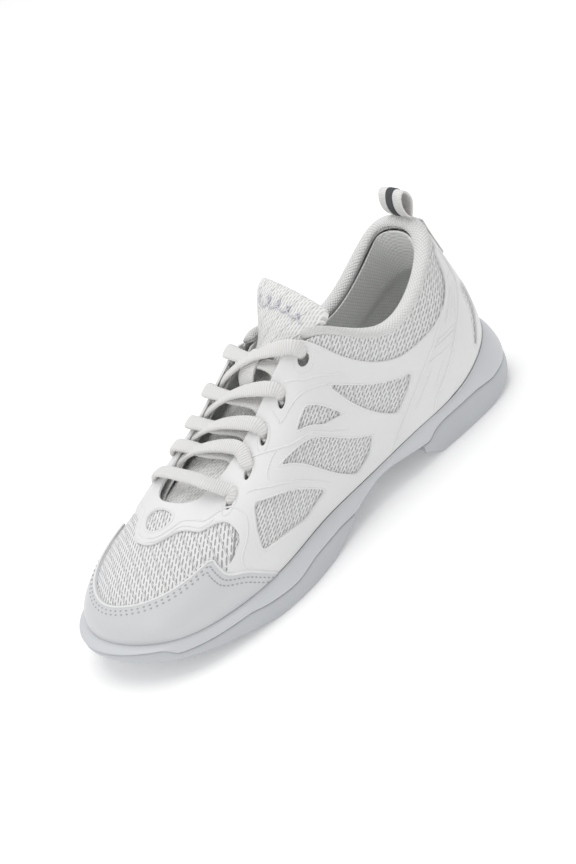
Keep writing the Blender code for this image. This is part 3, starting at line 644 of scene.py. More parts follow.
@dataclass
class Skin:
    """Closed skin over the upper's wall, cut to an outline with holes.

    A level grid of (k, t) is cut where the signed distance to the loops turns negative; the grid's
    border points are then moved onto the loops, and a rounded rim closes the top to the underside.
    """

    outline: Optional[Array]
    holes: List[Array] = field(default_factory=list)
    top: Level = 0.5
    under: Level = -0.6
    step: float = 1.3
    edge: float = 0.35
    low: float = -1.0

    def reach(self, uv: Array) -> Tuple[Array, Array, Array]:
        """Finds the nearest loop for each point.

        Args:
            uv: Points as (k, t).

        Returns:
            Signed distance in millimetres, positive on the kept side, the nearest point and the inward normal.
        """
        n = len(uv)
        best, near, inward = np.full(n, 1e9), np.zeros((n, 2)), np.zeros((n, 2))
        sign = np.ones(n)
        p = uv * Last.SCALE
        loops = ([(self.outline, 1.0)] if self.outline is not None else []) + [(h, -1.0) for h in self.holes]
        for loop, keep in loops:
            q = loop * Last.SCALE
            box = np.all((p > q.min(0) - 6) & (p < q.max(0) + 6), axis=1) if keep < 0 else np.ones(n, bool)
            idx = np.nonzero(box)[0]
            pts, crossings = p[idx], np.zeros(len(idx), int)
            d2, cn, nn = np.full(len(idx), 1e18), np.zeros((len(idx), 2)), np.zeros((len(idx), 2))
            area = np.sum(q[:, 0] * np.roll(q[:, 1], -1) - np.roll(q[:, 0], -1) * q[:, 1])
            turn = 1.0 if area > 0 else -1.0
            for a, b in zip(q, np.roll(q, -1, 0)):
                ab = b - a
                u = np.clip(((pts - a) @ ab) / max(ab @ ab, 1e-12), 0, 1)
                c = a + u[:, None] * ab
                dd = np.sum((pts - c)**2, 1)
                hit = dd < d2
                d2, cn = np.where(hit, dd, d2), np.where(hit[:, None], c, cn)
                facing = turn * np.array([-ab[1], ab[0]]) / max(np.linalg.norm(ab), 1e-9)
                nn = np.where(hit[:, None], facing, nn)
                if a[1] != b[1]:
                    up = (a[1] > pts[:, 1]) != (b[1] > pts[:, 1])
                    crossings += up & (pts[:, 0] < a[0] + (pts[:, 1] - a[1]) / (b[1] - a[1]) * ab[0])
            inside = crossings % 2 == 1
            closer = np.sqrt(d2) < best[idx]
            sel = idx[closer]
            best[sel] = np.sqrt(d2)[closer]
            near[sel], inward[sel] = cn[closer], nn[closer] * keep
            bad = inside if keep < 0 else ~inside
            sign[idx[bad]] = -1.0
        return best * sign, near / Last.SCALE, inward / Last.SCALE

    def level(self, rule: Level, k: Array, t: Array) -> Array:
        """Offset from the wall at each point."""
        return rule(k, t) if callable(rule) else np.full(k.shape, float(rule))

    def build(self, name: str, material: bpy.types.Material) -> bpy.types.Object:
        """Cuts the grid, rounds its rim and makes the piece."""
        wrap = self.outline is None
        if wrap:
            cols = int(round(Last.TURN * 30 / self.step))
            ks = np.arange(cols) * Last.TURN / cols
            rows = np.concatenate([[self.low], np.linspace(0, 1, int(80 / self.step))])
            k, r = np.meshgrid(ks, rows, indexing="ij")
            t = np.where(r < 0, r, r * top_edge(k))
        else:
            lo, hi = self.outline.min(0), self.outline.max(0)
            n = np.ceil((hi - lo) * Last.SCALE / self.step).astype(int) + 1
            k, t = np.meshgrid(np.linspace(lo[0], hi[0], n[0]),
                               np.linspace(lo[1], hi[1], n[1]), indexing="ij")
        uv = np.stack([k.ravel(), t.ravel()], -1)
        dist, near, inward = self.reach(uv)
        quads = grid_faces(k.shape[0], k.shape[1], wrap, False)
        quads = quads[dist[quads].mean(1) > 0]
        used = np.unique(quads)
        remap = np.full(len(uv), -1)
        remap[used] = np.arange(len(used))
        quads, uv, near, inward = remap[quads], uv[used], near[used], inward[used]
        edges = np.concatenate([quads[:, [i, (i + 1) % 4]] for i in range(4)])
        key = np.sort(edges, 1)
        _, first, count = np.unique(key, axis=0, return_index=True, return_counts=True)
        border = edges[first[count == 1]]
        rim = np.unique(border)
        cut, base = uv.copy(), uv.copy()
        free = np.linalg.norm((near[rim] - uv[rim]) * Last.SCALE, axis=1) < self.step * 2.2
        snap = rim[free & (np.abs(inward[rim]).sum(1) > 0)]
        base[snap] = near[snap]
        cut[snap] = near[snap] + inward[snap] * self.edge
        n = len(uv)
        top = LAST.at(cut[:, 0], cut[:, 1], self.level(self.top, cut[:, 0], cut[:, 1]))
        rim_top = self.level(self.top, base[rim, 0], base[rim, 1])
        mid = LAST.at(base[rim, 0], base[rim, 1], rim_top - self.edge * 0.8)
        low = LAST.at(base[:, 0], base[:, 1], self.level(self.under, base[:, 0], base[:, 1]))
        order = np.zeros(n, int)
        order[rim] = np.arange(len(rim)) + n
        a, b = border[:, 0], border[:, 1]
        faces = [quads, quads[:, ::-1] + n + len(rim),
                 np.stack([b, a, order[a], order[b]], -1),
                 np.stack([order[b], order[a], a + n + len(rim), b + n + len(rim)], -1)]
        cloth = LAST.weave(cut[:, 0], cut[:, 1])
        solid = Solid().add(np.concatenate([top, mid, low]), faces,
                            np.concatenate([cloth, cloth[rim], cloth]))
        obj = solid.make(name, material)
        tidy_mesh(obj)
        return obj


def tidy_mesh(obj: bpy.types.Object) -> None:
    """Merges doubled points and turns every face outwards."""
    bm = bmesh.new()
    bm.from_mesh(obj.data)
    bmesh.ops.remove_doubles(bm, verts=bm.verts, dist=2e-5)
    bmesh.ops.dissolve_degenerate(bm, edges=bm.edges, dist=1e-5)
    bmesh.ops.recalc_face_normals(bm, faces=bm.faces)
    bm.to_mesh(obj.data)
    bm.free()


def add_ridge(solid: Solid, line: Array, width: float, height: float, off: float,
              closed: bool = False) -> None:
    """Half-round raised line over the wall along (k, t) samples, tapered at open ends."""
    p = LAST.at(line[:, 0], line[:, 1], off)
    n = LAST.normal(line[:, 0], line[:, 1])
    side = unit(np.cross(n, tangents(p, closed)))
    a = np.linspace(0, math.pi, 7)
    half = np.stack([np.cos(a) * width / 2, np.sin(a) * height - 0.05], -1)
    prof = np.concatenate([half, [[-width * 0.5, -0.35], [width * 0.5, -0.35]]])
    s = np.linspace(0, 1, len(p))
    taper = np.ones(len(p)) if closed else np.sqrt(np.clip(np.minimum(s, 1 - s) * len(p) / 5, 0.05, 1))
    add_tube(solid, p, side, n, prof[None] * taper[:, None, None], closed)


def add_stitches(solid: Solid, line: Array, off: float, length: float = 1.9, radius: float = 0.32) -> None:
    """Row of short thread stitches, each a small rounded rod centred on a sample of the line."""
    p = LAST.at(line[:, 0], line[:, 1], off)
    n = LAST.normal(line[:, 0], line[:, 1])
    d = tangents(p)
    side = unit(np.cross(n, d))
    u = np.array([-0.5, -0.36, 0.0, 0.36, 0.5])
    r = np.array([0.15, 0.8, 1.0, 0.8, 0.15]) * radius
    a = np.arange(6) * TAU / 6
    ring = np.cos(a)[:, None] * side[:, None, None] + np.sin(a)[:, None] * n[:, None, None]
    pts = p[:, None, None] + d[:, None, None] * (u * length)[None, :, None, None] + ring * r[None, :, None,
    None] \
        - n[:, None, None] * (np.abs(u) * 0.5)[None, :, None, None]
    one = grid_faces(5, 6, False, True)
    faces = (one[None] + (np.arange(len(p)) * 30)[:, None, None]).reshape(-1, 4)
    solid.add(pts, [faces])


def flexes(obj: bpy.types.Object, slot: str, *nodes: str) -> None:
    """Bakes a piece's placement into its mesh and lets it stand for CAD nodes."""
    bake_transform(obj)
    settle(obj, slot, *nodes)


def rides(obj: bpy.types.Object, body: Body, slot: str, *nodes: str) -> None:
    """Fixes a piece to one body and lets it stand for CAD nodes."""
    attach(obj, body.value)
    settle(obj, slot, *nodes)


def settle(obj: bpy.types.Object, slot: str, *nodes: str) -> None:
    """Hides the CAD nodes a piece stands for."""
    if nodes:
        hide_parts(*nodes)


# ---------------------------------------------------------------------------- the shoe's assemblies
@dataclass
class Sole:
    """Foam midsole, two rubber outsole pads, strobel board and insole."""

    finish: Finishes
    ground: Tuple = ((-131, 13), (-121, 10), (-110, 8.2), (-97, 6.2), (-84, 3.9), (-70, 1.5), (-60, 0),
                     (-24, 0),
                     (-10, 2.5), (3, 6), (17, 10), (29, 11), (42, 10), (55, 4), (62, 0), (98, 0), (108, 1.5),
                     (121, 4.5), (131, 8))
    groove: Tuple = ((-131, 17.4), (-122, 17.1), (-114, 16.5), (-108, 12.4), (-84, 11.8), (-75, 12),
                     (-63, 10),
                     (-48, 9), (-30, 11.6), (-12, 10.7), (3, 8.6), (10, 10), (29, 13), (44, 11.4), (55, 10.4),
                     (63, 14), (71, 15), (90, 15), (106, 13), (131, 13))
    bed: Tuple = ((-131, 18.4), (-121, 16.8), (-110, 15.2), (-97, 13.6), (-82, 12.7), (-65, 12.3),
                  (-48, 12.2),
                  (-16, 13.5), (18, 14.4), (52, 15.5), (86, 18), (131, 22))
    spare: Tuple = ((-131, 0.4), (-97, 0.4), (-62, 2.8), (131, 2.8))
    pad_thick: float = 3.6
    columns: int = 300

    def flare(self, k: Array) -> Array:
        """How far the sole's widest line stands out past the foot line."""
        eye = np.eye(18)
        bow = np.linalg.solve(4 * eye + np.roll(eye, 1, 1) + np.roll(eye, -1, 1),
                              6 * (np.roll(FLARE_Y, 1) - 2 * FLARE_Y + np.roll(FLARE_Y, -1)))
        return LAST.column(k, FLARE_Y[:, None], bow[:, None])[..., 0]

    def ring(self, k: Array, out: Array, z: Union[Array, Callable[[Array], Array]]) -> Array:
        """Foot line moved outwards by out, at height z or a height read along the shoe."""
        p = LAST.column(k)[..., 0:3] * [1, 1, 0] + np.asarray(out, float)[..., None] * LAST.outward(k)
        p[..., 2] = z(p[..., 0]) if callable(z) else z
        return p

    def shrunk(self, ring: Array, factor: float, z: Callable[[Array], Array]) -> Array:
        """Ring pulled towards the middle of the sole."""
        mid = np.array([2.0, 0.0, 0.0])
        p = mid + (ring - mid) * [factor, factor, 1]
        p[..., 2] = z(p[..., 0])
        return p

    def padded_zone(self, x: Array) -> Array:
        """1 over the two pads and 0 under the bare arch."""
        return np.maximum(np.clip((14 - x) / 7.0, 0, 1), np.clip((x - 38) / 7.0, 0, 1))

    def skin(self, solid: Solid, rings: Sequence[Array], wrap: bool = True) -> Solid:
        """Surface through equal rings, its first and last ring closed by a fan of quads to a point."""
        pts = np.stack(rings)
        n, m = pts.shape[:2]
        pts = np.concatenate([pts[:1] * 0 + pts[0].mean(0), pts, pts[:1] * 0 + pts[-1].mean(0)])
        return solid.add(pts, [grid_faces(n + 2, m, False, wrap)], pts)

    def midsole(self) -> bpy.types.Object:
        """Foam cup: rounded lip against the upper, full side, sharp step at the groove, flat underside."""
        k = np.linspace(0, 18, self.columns, endpoint=False)
        flare, rim = self.flare(k), LAST.column(k)[..., 2]
        groove = smooth(self.groove, self.ring(k, flare, 0)[:, 0])
        zone = self.padded_zone(self.ring(k, flare, 0)[:, 0])
        bed = lambda x: smooth(self.bed, x)
        under = lambda x: (smooth(self.ground, x)
                           + (self.pad_thick + smooth(self.spare, x)) * self.padded_zone(x))
        inner = self.ring(k, 0.9 + 0 * k, 0)
        s = np.linspace(0, 1, 15)
        side = [self.ring(k, (1 - u)**2 * 0.4 + 2 * u * (1 - u) * (4.4 + 0.7 * flare) + u**2 * (flare + 0.9)
                          + 0.25 * np.cos(TAU * u) - 0.25,
                          rim + 0.2 - u * (rim + 0.2 - groove - 0.45)) for u in s]
        tuck = zone * (groove + 0.35) + (1 - zone) * (smooth(self.ground, side[-1][:, 0]) + 1.2)
        rings = [self.shrunk(inner, f, bed) for f in (0.25, 0.5, 0.75, 0.92)]
        rings += [self.ring(k, 0.9 + 0 * k, bed), self.ring(k, 0.9 + 0 * k, rim - 0.6),
                  self.ring(k, 1.1 + 0 * k, rim + 0.05)] + side
        rings += [self.ring(k, flare - 0.2, zone * (groove + 0.35) + (1 - zone) * (groove - 0.6)),
                  self.ring(k, flare - 3.0 * zone - 0.9 * (1 - zone), tuck),
                  self.ring(k, flare - 3.8, under)]
        rings += [self.shrunk(rings[-1], f, under) for f in (0.9, 0.75, 0.5, 0.25)]
        return self.skin(Solid(), rings).make("midsole", self.finish.foam)

    def pad(self, name: str, first: float, last: float, ends: float) -> bpy.types.Object:
        """Rubber pad: a side band from the groove round the edge onto a ribbed tread."""
        low_x = lambda lift: (lambda x: smooth(self.ground, x) + lift)
        k = np.linspace(first, last, 150)
        flare = self.flare(k)
        groove = smooth(self.groove, self.ring(k, flare, 0)[:, 0])
        cross = np.linspace(0, 1, 40)[1:-1, None]

        def closed(out: Array, z: Union[Array, float], end_in: float,
                   z_end: Callable[[Array], Array]) -> Array:
            """Side points, then a straight end across the arch, drawn in by end_in."""
            side = self.ring(k, out, z)
            cut = side[-1] + (side[0] - side[-1]) * cross
            arch = math.pi * cross[:, 0]
            cut[:, 0] += ends * (end_in - 1.6 * np.sin(arch) + 0.5 * np.sin(6 * arch))
            cut[:, 2] = z_end(cut[:, 0])
            return np.concatenate([side, cut])

        ground = smooth(self.ground, self.ring(k, flare, 0)[:, 0])
        rings = [closed(flare - 3.1, groove - 2.5, 2.0, low_x(2.2)),
                 closed(flare - 2.6, groove - 0.1, 0.9, low_x(2.5)),
                 closed(flare + 0.2, groove - 0.05, 0.1, low_x(2.6)),
                 closed(flare + 0.75, groove - 0.5, 0.0, low_x(2.3))]
        for u in np.linspace(0.1, 1, 9):
            z = groove - 0.5 - (groove - 0.5 - ground - 1.6) * u
            full = flare + 0.75 + 0.35 * math.sin(math.pi * u) - 0.25 * u
            rings.append(closed(full, z, 0.0, low_x(2.3 - 0.7 * u)))
        for a in np.linspace(0.15, 1, 5) * math.pi / 2:
            out = flare + 0.5 - 1.8 * (1 - math.cos(a))
            here = smooth(self.ground, self.ring(k, out, 0)[:, 0])
            drop = 1.6 * (1 - math.sin(a))
            rings.append(closed(out, here + drop, 1.6 * (1 - math.cos(a)), low_x(drop)))
        mid = np.array([rings[-1][:, 0].mean(), rings[-1][:, 1].mean(), 0])
        base = rings[-1]
        for f in np.linspace(0.97, 0.06, 60):
            p = mid + (base - mid) * [f, f, 1]
            wave = np.cos(p[:, 0] * TAU / 6.5 + 0.6 * np.abs(p[:, 1]) * TAU / 26)
            p[:, 2] = smooth(self.ground, p[:, 0]) + 0.9 * ease((wave + 0.1) / 0.35) * ease((1 - f) / 0.06)
            rings.append(p)
        obj = self.skin(Solid(), rings).make(name, self.finish.rubber)
        tidy_mesh(obj)
        return obj

    def sheet(self, name: str, inset: float, low: float, high: float, crown: float,
              material: bpy.types.Material) -> bpy.types.Object:
        """Sheet over the foot bed with a rounded edge, dished by crown towards its rim."""
        k = np.linspace(0, 18, 200, endpoint=False)
        edge = self.ring(k, -inset + 0 * k, 0)
        lift = lambda dz: (lambda x: smooth(self.bed, x) + dz)
        rings = [self.shrunk(edge, f, lift(low)) for f in (0.3, 0.6, 0.85, 0.99)]
        rings += [self.shrunk(edge, 1.0, lift(0.5 * (low + high)))]
        rings += [self.shrunk(edge, f, lift(high + crown * ease((f - 0.7) / 0.3)))
                  for f in (0.99, 0.97, 0.93, 0.85, 0.7, 0.5, 0.3)]
        obj = self.skin(Solid(), rings).make(name, material)
        tidy_mesh(obj)
        return obj

    def build(self) -> None:
        """Makes the five sole pieces."""
        flexes(self.midsole(), "foam", "midsole")
        flexes(self.pad("outsole_forefoot", 4.5, 13.5, -1.0), "outsole", "outsole_forefoot")
        rides(self.pad("outsole_heel", -3.0, 3.0, 1.0), Body.REAR, "outsole", "outsole_heel")
        flexes(self.sheet("strobel_board", 7.0, 0.9, 1.8, 0.0, self.finish.board), "board", "strobel_board")
        insole = self.sheet("insole", 7.0, 2.4, 5.6, 1.6, self.finish.insole)
        flexes(insole, "insole", "insole")


@dataclass
class Upper:
    """Mesh bootie, lining, stiffeners, padding, fused cage, toe cap and heel overlay."""

    finish: Finishes
    eyelets: Tuple = ((4.88, 0.875), (5.55, 0.845), (6.08, 0.84), (6.54, 0.79), (7.01, 0.75))
    eyelet_radius: float = 3.3
    cage_level: float = 0.5
    front: Tuple = ((6.84, 0.345), (6.70, 0.42), (6.74, 0.50), (7.05, 0.65), (7.40, 0.72), (7.69, 0.735),
                    (8.0, 0.80), (8.25, 0.82), (8.50, 0.78), (8.72, 0.74), (9.0, 0.73))
    collar_panel: Tuple = ((4.72, 0.97), (4.45, 0.90), (4.15, 0.83), (3.70, 0.78), (3.2, 0.745), (2.55, 0.70),
                           (2.0, 0.64), (1.55, 0.66), (1.28, 0.74), (1.18, 0.89))
    rear: Tuple = ((0.92, 0.89), (0.84, 0.76), (0.92, 0.60), (1.20, 0.44), (1.70, 0.24), (2.15, 0.04),
                   (2.22, 0.006))
    windows: Tuple = (((4.50, 0.665), (3.9, 0.625), (3.2, 0.575), (2.80, 0.535), (2.95, 0.40),
                      (3.20, 0.28), (3.75, 0.45)),
                      ((5.38, 0.60), (5.12, 0.655), (4.65, 0.57), (4.24, 0.485), (4.70, 0.485)),
                      ((5.83, 0.575), (5.0, 0.47), (3.72, 0.255), (3.85, 0.14), (4.15, 0.085), (5.0, 0.33)),
                      ((6.42, 0.57), (5.7, 0.39), (4.80, 0.155), (5.3, 0.12), (6.26, 0.24), (6.36, 0.40)))
    teardrop: Tuple = ((9.0, 0.955), (8.62, 0.93), (8.58, 0.87), (8.85, 0.815), (9.15, 0.815),
                       (9.42, 0.87), (9.38, 0.93))
    toe_edge: Tuple = ((6.04, 0.006), (6.08, 0.02), (6.50, 0.195), (6.90, 0.305), (7.10, 0.40), (7.30, 0.49),
                       (7.64, 0.47), (8.12, 0.415), (8.50, 0.375), (9.0, 0.345))
    heel_window: Tuple = ((1.05, 0.50), (0.74, 0.47), (0.70, 0.38), (0.95, 0.24), (1.38, 0.08),
                          (1.42, 0.14), (1.15, 0.33))
    band_front: Tuple = ((1.19, 0.86), (1.30, 0.74), (1.62, 0.66), (2.02, 0.605), (2.4, 0.52),
                         (2.68, 0.42), (2.95, 0.28),
                         (3.31, 0.10), (3.5, 0.02))
    band_rear: Tuple = ((0.93, 0.86), (0.95, 0.70), (1.10, 0.575), (1.40, 0.50), (1.72, 0.42),
                        (1.99, 0.33), (2.25, 0.24),
                        (2.49, 0.14), (2.62, 0.02))

    def line(self, points: Sequence[Sequence[float]], step: float = 1.0) -> Array:
        """Smooth (k, t) line in even steps of millimetres."""
        return spline(points, step, Last.SCALE)

    def eyelet_holes(self, radius: float) -> List[Array]:
        """Ten lace holes, outer row then inner row."""
        both = list(self.eyelets) + [(Last.TURN - k, t) for k, t in self.eyelets]
        return [hole_loop(k, t, radius) for k, t in both]

    def bootie(self) -> None:
        """Mesh and lining all the way round, and the hidden layers between them."""
        mesh = Skin(None, self.eyelet_holes(self.eyelet_radius + 0.2), -0.75, -1.6, 1.5)
        flexes(mesh.build("mesh_upper", self.finish.mesh), "mesh", "mesh_upper")
        lining = Skin(None, self.eyelet_holes(self.eyelet_radius + 0.6), lambda k, t: -lining_depth(k, t),
                      lambda k, t: -lining_depth(k, t) - 1.0, 2.0)
        flexes(lining.build("upper_lining", self.finish.lining), "lining", "upper_lining")
        for name in ("heel_counter", "toe_puff", "collar_padding"):
            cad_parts[name].data.materials.clear()
            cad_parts[name].data.materials.append(self.finish.board)

    def cage(self) -> None:
        """Cage outline: throat edge, collar panel, heel edge, sole line, toe-cap side and vamp scallops."""
        top = [(k, 1.0) for k in (8.5, 8.0, 7.5, 7.0, 6.5, 6.0, 5.5, 5.1, 4.85)]
        sole = [(k, 0.006) for k in (3.0, 3.8, 4.6, 5.4)]
        tuck = [(6.35, 0.006), (6.55, 0.10), (6.85, 0.22), (7.0, 0.32)]
        rear = list(self.rear)
        side = top + list(self.collar_panel) + rear + sole + tuck + list(self.front[1:])
        outline = rounded_loop(mirrored(side)[1:] + [(9.0, 1.0)] + side, 8.0)
        holes = [rounded_loop(w) for w in self.windows] + [rounded_loop(mirrored(w)) for w in self.windows]
        holes += [rounded_loop(self.teardrop, 6.0)] + self.eyelet_holes(self.eyelet_radius)
        piece = Skin(outline, holes, self.cage_level, -0.7, 1.05).build("side_cage", self.finish.cage)
        flexes(piece, "cage", "side_cage")

    def cage_lines(self) -> None:
        """Raised lines of the cage on both sides: arcs, notch, window rims, scallops and eyelet rings."""
        solid = Solid()
        arcs = [((5.42, 0.90), (5.2, 0.83), (4.95, 0.765), (4.41, 0.72), (4.02, 0.705)),
                ((6.75, 0.925), (6.21, 0.783), (5.54, 0.585), (5.0, 0.50), (4.59, 0.43), (4.14, 0.375)),
                ((5.79, 0.90), (5.72, 0.79), (5.66, 0.755), (5.3, 0.745), (4.84, 0.70), (4.40, 0.67)),
                ((6.62, 0.675), (6.43, 0.645), (5.98, 0.517), (5.22, 0.31), (4.65, 0.16)),
                ((6.05, 0.57), (6.12, 0.63), (5.98, 0.675), (5.78, 0.66)),
                ((9.0, 0.77), (8.72, 0.785), (8.5, 0.83), (8.25, 0.875), (7.95, 0.85), (7.62, 0.79),
                (7.3, 0.765),
                 (6.95, 0.70), (6.62, 0.56), (6.56, 0.43), (6.66, 0.33), (6.60, 0.24), (6.45, 0.15)),
                ((8.9, 0.745), (8.66, 0.765), (8.45, 0.80), (8.25, 0.838), (8.0, 0.82), (7.68, 0.76),
                (7.36, 0.74))]
        for side in (lambda a: a, lambda a: a * [-1, 1] + [Last.TURN, 0]):
            for arc, wide in zip(arcs, (1.1, 1.1, 0.8, 0.8, 0.9, 0.9, 0.7)):
                add_ridge(solid, side(self.line(arc)), wide, 0.42, self.cage_level)
            for w in self.windows:
                loop = np.array(w)
                mid = loop.mean(0)
                reach = np.linalg.norm((loop - mid) * Last.SCALE, axis=1).mean()
                grown = mid + (rounded_loop(w) - mid) * (1 + 1.1 / reach)
                add_ridge(solid, side(spline(grown, 1.0, Last.SCALE, True)), 0.8, 0.28, self.cage_level, True)
            for i in (0, 2, 4):
                ring = hole_loop(*self.eyelets[i], self.eyelet_radius + 2.4, 60)
                add_ridge(solid, side(ring), 0.7, 0.28, self.cage_level, True)
            for shift in (-0.16, 0.0, 0.16):
                tick = self.line([(4.62 + shift, 0.90), (4.50 + shift, 0.84)], 0.6)
                add_ridge(solid, side(tick), 0.7, 0.3, self.cage_level)
        tear = rounded_loop([(9 + (k - 9) * 1.16, 0.88 + (t - 0.88) * 1.14) for k, t in self.teardrop], 6.0)
        add_ridge(solid, spline(tear, 1.0, Last.SCALE, True), 0.8, 0.28, self.cage_level, True)
        flexes(solid.make("cage_lines", self.finish.cage), "cage")

    def heel(self) -> None:
        """Heel overlay with its mesh patch cut out, and the raised band pattern on each side."""
        low = [(k, 0.006) for k in (-1.6, -0.8, 0.0, 0.8, 1.6)]
        side = [(2.5, 0.006), (2.35, 0.05), (1.85, 0.24), (1.40, 0.43), (1.12, 0.60), (1.02, 0.76),
        (1.06, 0.885)]
        opposite = lambda line: [(-k, t) for k, t in reversed(line)]
        outline = side + [(0.5, 0.895), (0.0, 0.895), (-0.5, 0.895)] + opposite(side) + low
        holes = [rounded_loop(self.heel_window), rounded_loop(opposite(self.heel_window))]
        overlay = Skin(rounded_loop(outline, 8.0), holes, 0.25, -0.7, 1.1)
        overlay = overlay.build("heel_overlay", self.finish.cage)
        rides(overlay, Body.REAR, "cage", "heel_overlay")
        solid = Solid()
        front, rear = np.array(self.band_front), np.array(self.band_rear)
        across = lambda i, w: tuple(np.array([np.interp(i, np.arange(9), (front * (1 - w) + rear * w)[:, c])
                                              for c in (0, 1)]))
        for side_of in (1, -1):
            flip = lambda a: a * [side_of, 1]
            for edge, wide in ((front, 1.1), (rear, 1.1)):
                add_ridge(solid, flip(self.line(edge)), wide, 0.7, self.cage_level)
            for i in (1.2, 3.6, 3.85, 4.4):
                bar = self.line([across(i, 0.08), across(i, 0.5), across(i, 0.92)], 0.6)
                add_ridge(solid, flip(bar), 0.9, 0.4, self.cage_level)
            for w, start, stop in ((0.3, 1.6, 3.2), (0.52, 1.5, 3.3), (0.74, 1.6, 3.2),
                                   (0.3, 4.8, 6.6), (0.7, 4.8, 6.2)):
                steps = np.linspace(start, stop, 6)
                add_ridge(solid, flip(self.line([across(i, w) for i in steps])), 0.8, 0.35, self.cage_level)
            add_ridge(solid, flip(spline(rounded_loop([(1.02 + (k - 1.02) * 1.12, 0.30 + (t - 0.30) * 1.08)
                                                       for k, t in self.heel_window]), 1.0, Last.SCALE,
                                                       True)),
                      0.8, 0.3, 0.25, True)
        rides(solid.make("heel_band_lines", self.finish.cage), Body.REAR, "cage")

    def toe(self) -> None:
        """Toe cap with a folded edge and a double row of stitches just below it."""
        low = [(k, 0.006) for k in (11.2, 10.5, 10.0, 9.5, 9.0, 8.5, 8.0, 7.5, 6.8)]
        outline = rounded_loop(list(self.toe_edge) + mirrored(self.toe_edge)[1:] + low, 5.0)
        lift = lambda k, t: 0.95 + 0 * t
        flexes(Skin(outline, [], lift, -0.7, 1.2).build("toe_cap", self.finish.toe), "toe_leather", "toe_cap")
        edge = np.array(list(self.toe_edge[1:]) + mirrored(self.toe_edge[1:])[1:])
        dense = spline(edge, 0.5, Last.SCALE)
        p = dense * Last.SCALE
        tang = unit(np.gradient(p, axis=0))
        down = np.stack([-tang[:, 1], tang[:, 0]], -1)
        down = down * np.where((np.array([9.0, 0.0]) * Last.SCALE - p)[:, 1:2] * down[:, 1:2] < 0, -1, 1)
        down = down * np.where(down[:, 1:2] > 0, -1, 1)
        welt, threads = Solid(), Solid()
        keep = lambda q: q[(q[:, 1] > 0.02)]
        add_ridge(welt, keep((p + down * 0.45) / Last.SCALE), 1.1, 0.55, 0.8)
        flexes(welt.make("toe_cap_fold", self.finish.cage), "toe_leather")
        for gap in (2.6, 4.8):
            row = keep((p + down * gap) / Last.SCALE)
            gaps = np.linalg.norm(np.diff(row * Last.SCALE, axis=0), axis=1)
            row = row[np.concatenate([[True], gaps > 0.05])]
            even = spline(row[::6], 2.7, Last.SCALE)
            # painted shade: these grey stitch rows stand for the shade in the stitch holes
            add_stitches(threads, even, 0.98, 1.7, 0.36)
        flexes(threads.make("toe_cap_stitches", self.finish.thread), "toe_leather")

    def build(self) -> None:
        """Makes every layer of the upper."""
        self.bootie()
        self.cage()
        self.cage_lines()
        self.heel()
        self.toe()


@dataclass
class Collar:
    """Padded knit roll round the ankle opening."""

    finish: Finishes
    reach: float = 4.68
    plump: float = 4.4
    tall: float = 3.1

    def build(self) -> None:
        """Oval carried along the top edge; slimmer towards the eyestays, closed at both ends."""
        k = np.linspace(-self.reach, self.reach, 260)
        far = np.abs(k)
        full = np.sqrt(np.clip((self.reach - far) / 0.22, 0.03, 1))
        plump = (self.plump - 1.9 * ease((far - 3.2) / 1.0)) * full
        edge, out = LAST.wall(k, 1.0), LAST.outward(k)
        path = edge - (plump - 0.4)[:, None] * out - 1.5 * UP
        ring = oval(2.0, 2.0, 28)
        prof = ring[None] * np.stack([plump, self.tall * full], -1)[:, None]
        turn = np.arctan2(ring[:, 1], ring[:, 0]) * 4.0
        solid = Solid()
        add_tube(solid, path, out, UP + 0 * path, prof)
        solid.cloth[-1] = solid.cloth[-1].reshape(len(k), 28, 3)
        solid.cloth[-1][..., 1] = turn
        solid.cloth[-1] = solid.cloth[-1].reshape(-1, 3)
        piece = solid.make("collar_roll", self.finish.knit)
        tidy_mesh(piece)
        rides(piece, Body.REAR, "knit", "collar_roll")


